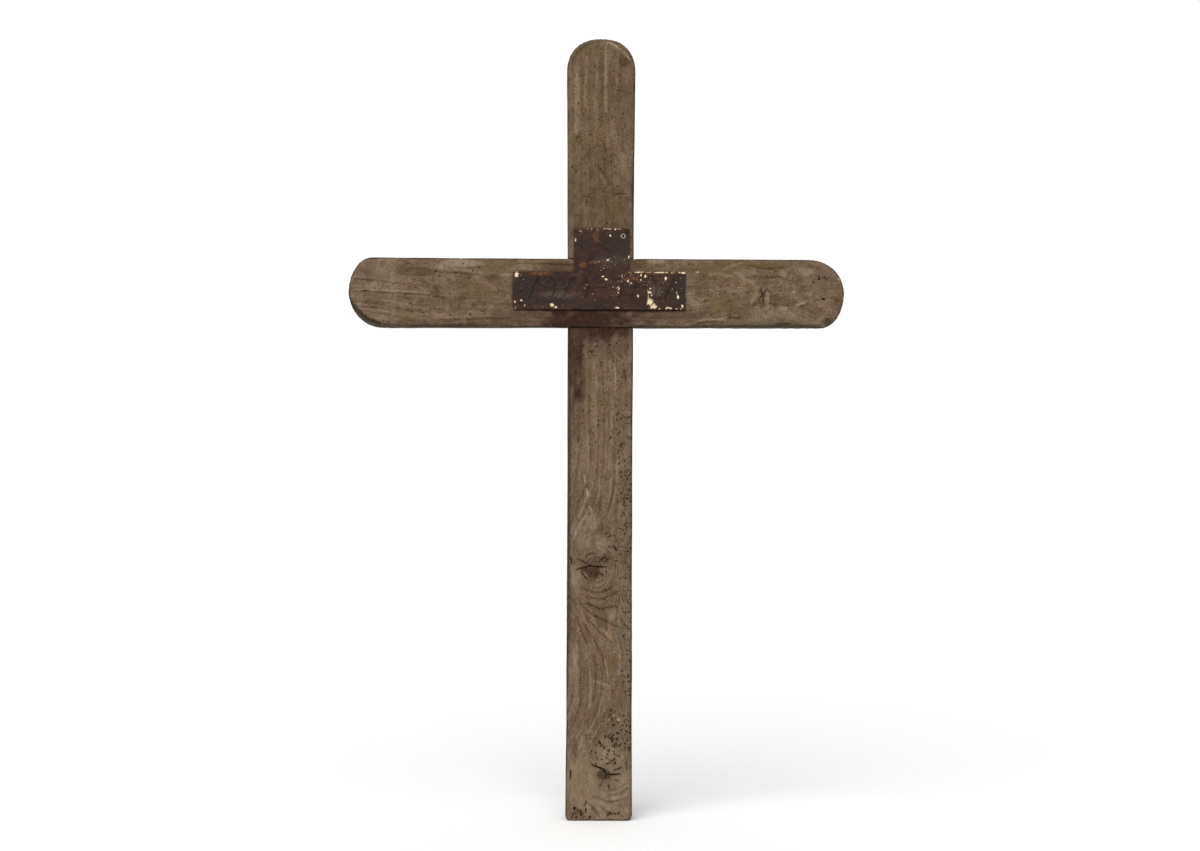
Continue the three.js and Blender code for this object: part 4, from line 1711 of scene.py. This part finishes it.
@dataclass
class Nails:
    """Four hand-driven nails with small hammered heads."""

    nodes: tuple[str, ...] = NAIL_NODES
    slot: str = "nail_iron"
    head_radius: float = 1.9
    head_rise: float = 1.1
    shank_radius: float = 1.05
    point: float = 4.0
    sides: int = 20
    seed: int = 5
    hammering: float = 0.13
    crease: float = 50.0

    def pattern(self, length: float) -> bpy.types.Object:
        """Models one nail about the origin, its head towards the front.

        Args:
            length: From the head's top to the point, in millimetres.

        Returns:
            The nail.
        """
        bpy.ops.object.select_all(action="DESELECT")
        bpy.ops.mesh.primitive_cylinder_add(
            vertices=self.sides,
            radius=self.head_radius * MM,
            depth=self.head_rise * MM,
            end_fill_type="NGON",
            rotation=(math.pi / 2, 0, 0),
        )
        nail = bpy.context.object
        bpy.ops.object.transform_apply(location=True, rotation=True, scale=True)
        self.pick(nail, lambda centre: centre.y < -0.4 * self.head_rise * MM)
        bpy.ops.mesh.bevel(offset=0.5 * self.head_rise * MM, segments=3, affect="EDGES")
        self.pick(nail, lambda centre: centre.y > 0.4 * self.head_rise * MM)
        bpy.ops.mesh.inset(thickness=(self.head_radius - self.shank_radius) * MM)
        shank = (length - self.head_rise - self.point) * MM
        bpy.ops.mesh.extrude_region_move(TRANSFORM_OT_translate={"value": (0, shank, 0)})
        bpy.ops.mesh.extrude_region_move(TRANSFORM_OT_translate={"value": (0, self.point * MM, 0)})
        bpy.ops.mesh.merge(type="CENTER")
        bpy.ops.object.mode_set(mode="OBJECT")
        return nail

    @staticmethod
    def pick(nail: bpy.types.Object, wanted: Callable[[Vector], bool]) -> None:
        """Selects, in edit mode, the faces whose middles pass a test."""
        bpy.ops.object.mode_set(mode="EDIT")
        bpy.ops.mesh.select_mode(type="FACE")
        bpy.ops.mesh.select_all(action="DESELECT")
        bpy.ops.object.mode_set(mode="OBJECT")
        for face in nail.data.polygons:
            face.select = wanted(face.center)
        bpy.ops.object.mode_set(mode="EDIT")

    def build(self) -> list[bpy.types.Object]:
        """Makes the nails, each from its own copy of one pattern.

        Returns:
            The finished pieces.
        """
        finish = NailIron().material()
        lots = np.random.default_rng(self.seed)
        low, high = (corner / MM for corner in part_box(self.nodes[0]))
        pattern = self.pattern(high.y - low.y)
        made = []
        for node in self.nodes:
            low, high = (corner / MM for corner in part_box(node))
            nail = bpy.data.objects.new(f"driven_{node}", pattern.data.copy())
            bpy.context.scene.collection.objects.link(nail)
            surface = Surface(nail)
            points = surface.points()
            head = points[:, 1] < 0.5 * self.head_rise
            points[head] += lots.uniform(-self.hammering, self.hammering, (int(head.sum()), 3))
            points += ((low.x + high.x) / 2, low.y + self.head_rise / 2, (low.z + high.z) / 2)
            surface.move_to(points)
            Bench.smooth(nail, self.crease)
            Bench.join_frame(nail, node, self.slot, finish)
            made.append(nail)
        bpy.data.objects.remove(pattern)
        return made


@dataclass(frozen=True)
class Studio:
    """A pale floor, soft light and the camera that the photograph was taken from."""

    floor_radius: float = 30_000.0
    floor_sides: int = 96
    frame_width: float = 1440.0
    eye_height: float = 474.8
    lens: float = 60.0
    sensor: float = 36.0
    roll: float = 0.2
    sky: float = 0.55
    sun_power: float = 2.1
    sun_spread: float = 50.0
    sun_turn: Triple = (38.0, 0.0, -18.0)

    def floor(self) -> None:
        """Lays the floor under the foot."""
        radius = self.floor_radius * MM
        bpy.ops.mesh.primitive_circle_add(vertices=self.floor_sides, radius=radius, fill_type="NGON")
        floor = bpy.context.object
        floor.name = "floor"
        sheet = NodeSheet("pale_floor")
        floor.data.materials.append(sheet.finish(Base_Color=tone(251, 251, 251), Roughness=0.9))

    def light(self) -> None:
        """Lights the cross softly from above under a sky that looks white and shines less."""
        world = bpy.data.worlds.new("white_sky")
        world.use_nodes = True
        tree = world.node_tree
        seen = tree.nodes.new("ShaderNodeLightPath").outputs["Is Camera Ray"]
        level = tree.nodes.new("ShaderNodeMapRange")
        level.inputs["To Min"].default_value = self.sky
        tree.links.new(seen, level.inputs["Value"])
        background = tree.nodes["Background"]
        background.inputs["Color"].default_value = (1, 1, 1, 1)
        tree.links.new(level.outputs["Result"], background.inputs["Strength"])
        bpy.context.scene.world = world
        bpy.context.scene.view_settings.view_transform = "Standard"
        turn = tuple(math.radians(angle) for angle in self.sun_turn)
        bpy.ops.object.light_add(type="SUN", location=(0, 0, 3), rotation=turn)
        sun = bpy.context.object
        sun.data.energy = self.sun_power
        sun.data.angle = math.radians(self.sun_spread)

    def camera(self, front: float) -> None:
        """Sets the camera square to the front.

        Args:
            front: The boards' front face, in millimetres along y.
        """
        distance = self.frame_width * self.lens / self.sensor
        place = (0, (front - distance) * MM, self.eye_height * MM)
        turn = (math.pi / 2, -math.radians(self.roll), 0)
        bpy.ops.object.camera_add(location=place, rotation=turn)
        camera = bpy.context.object
        camera.data.lens = self.lens
        camera.data.sensor_width = self.sensor
        bpy.context.scene.camera = camera


def main() -> None:
    """Dresses the cross."""
    logging.basicConfig(level=logging.INFO, format="%(name)s %(message)s")
    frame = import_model()
    studio = Studio()
    studio.camera(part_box("upright")[0].y / MM)
    studio.light()
    studio.floor()
    for board in (upright_board(), crossbar_board()):
        board.build(frame)
    NamePlate().build(frame)
    Nails().build()


if __name__ == "__main__":
    main()
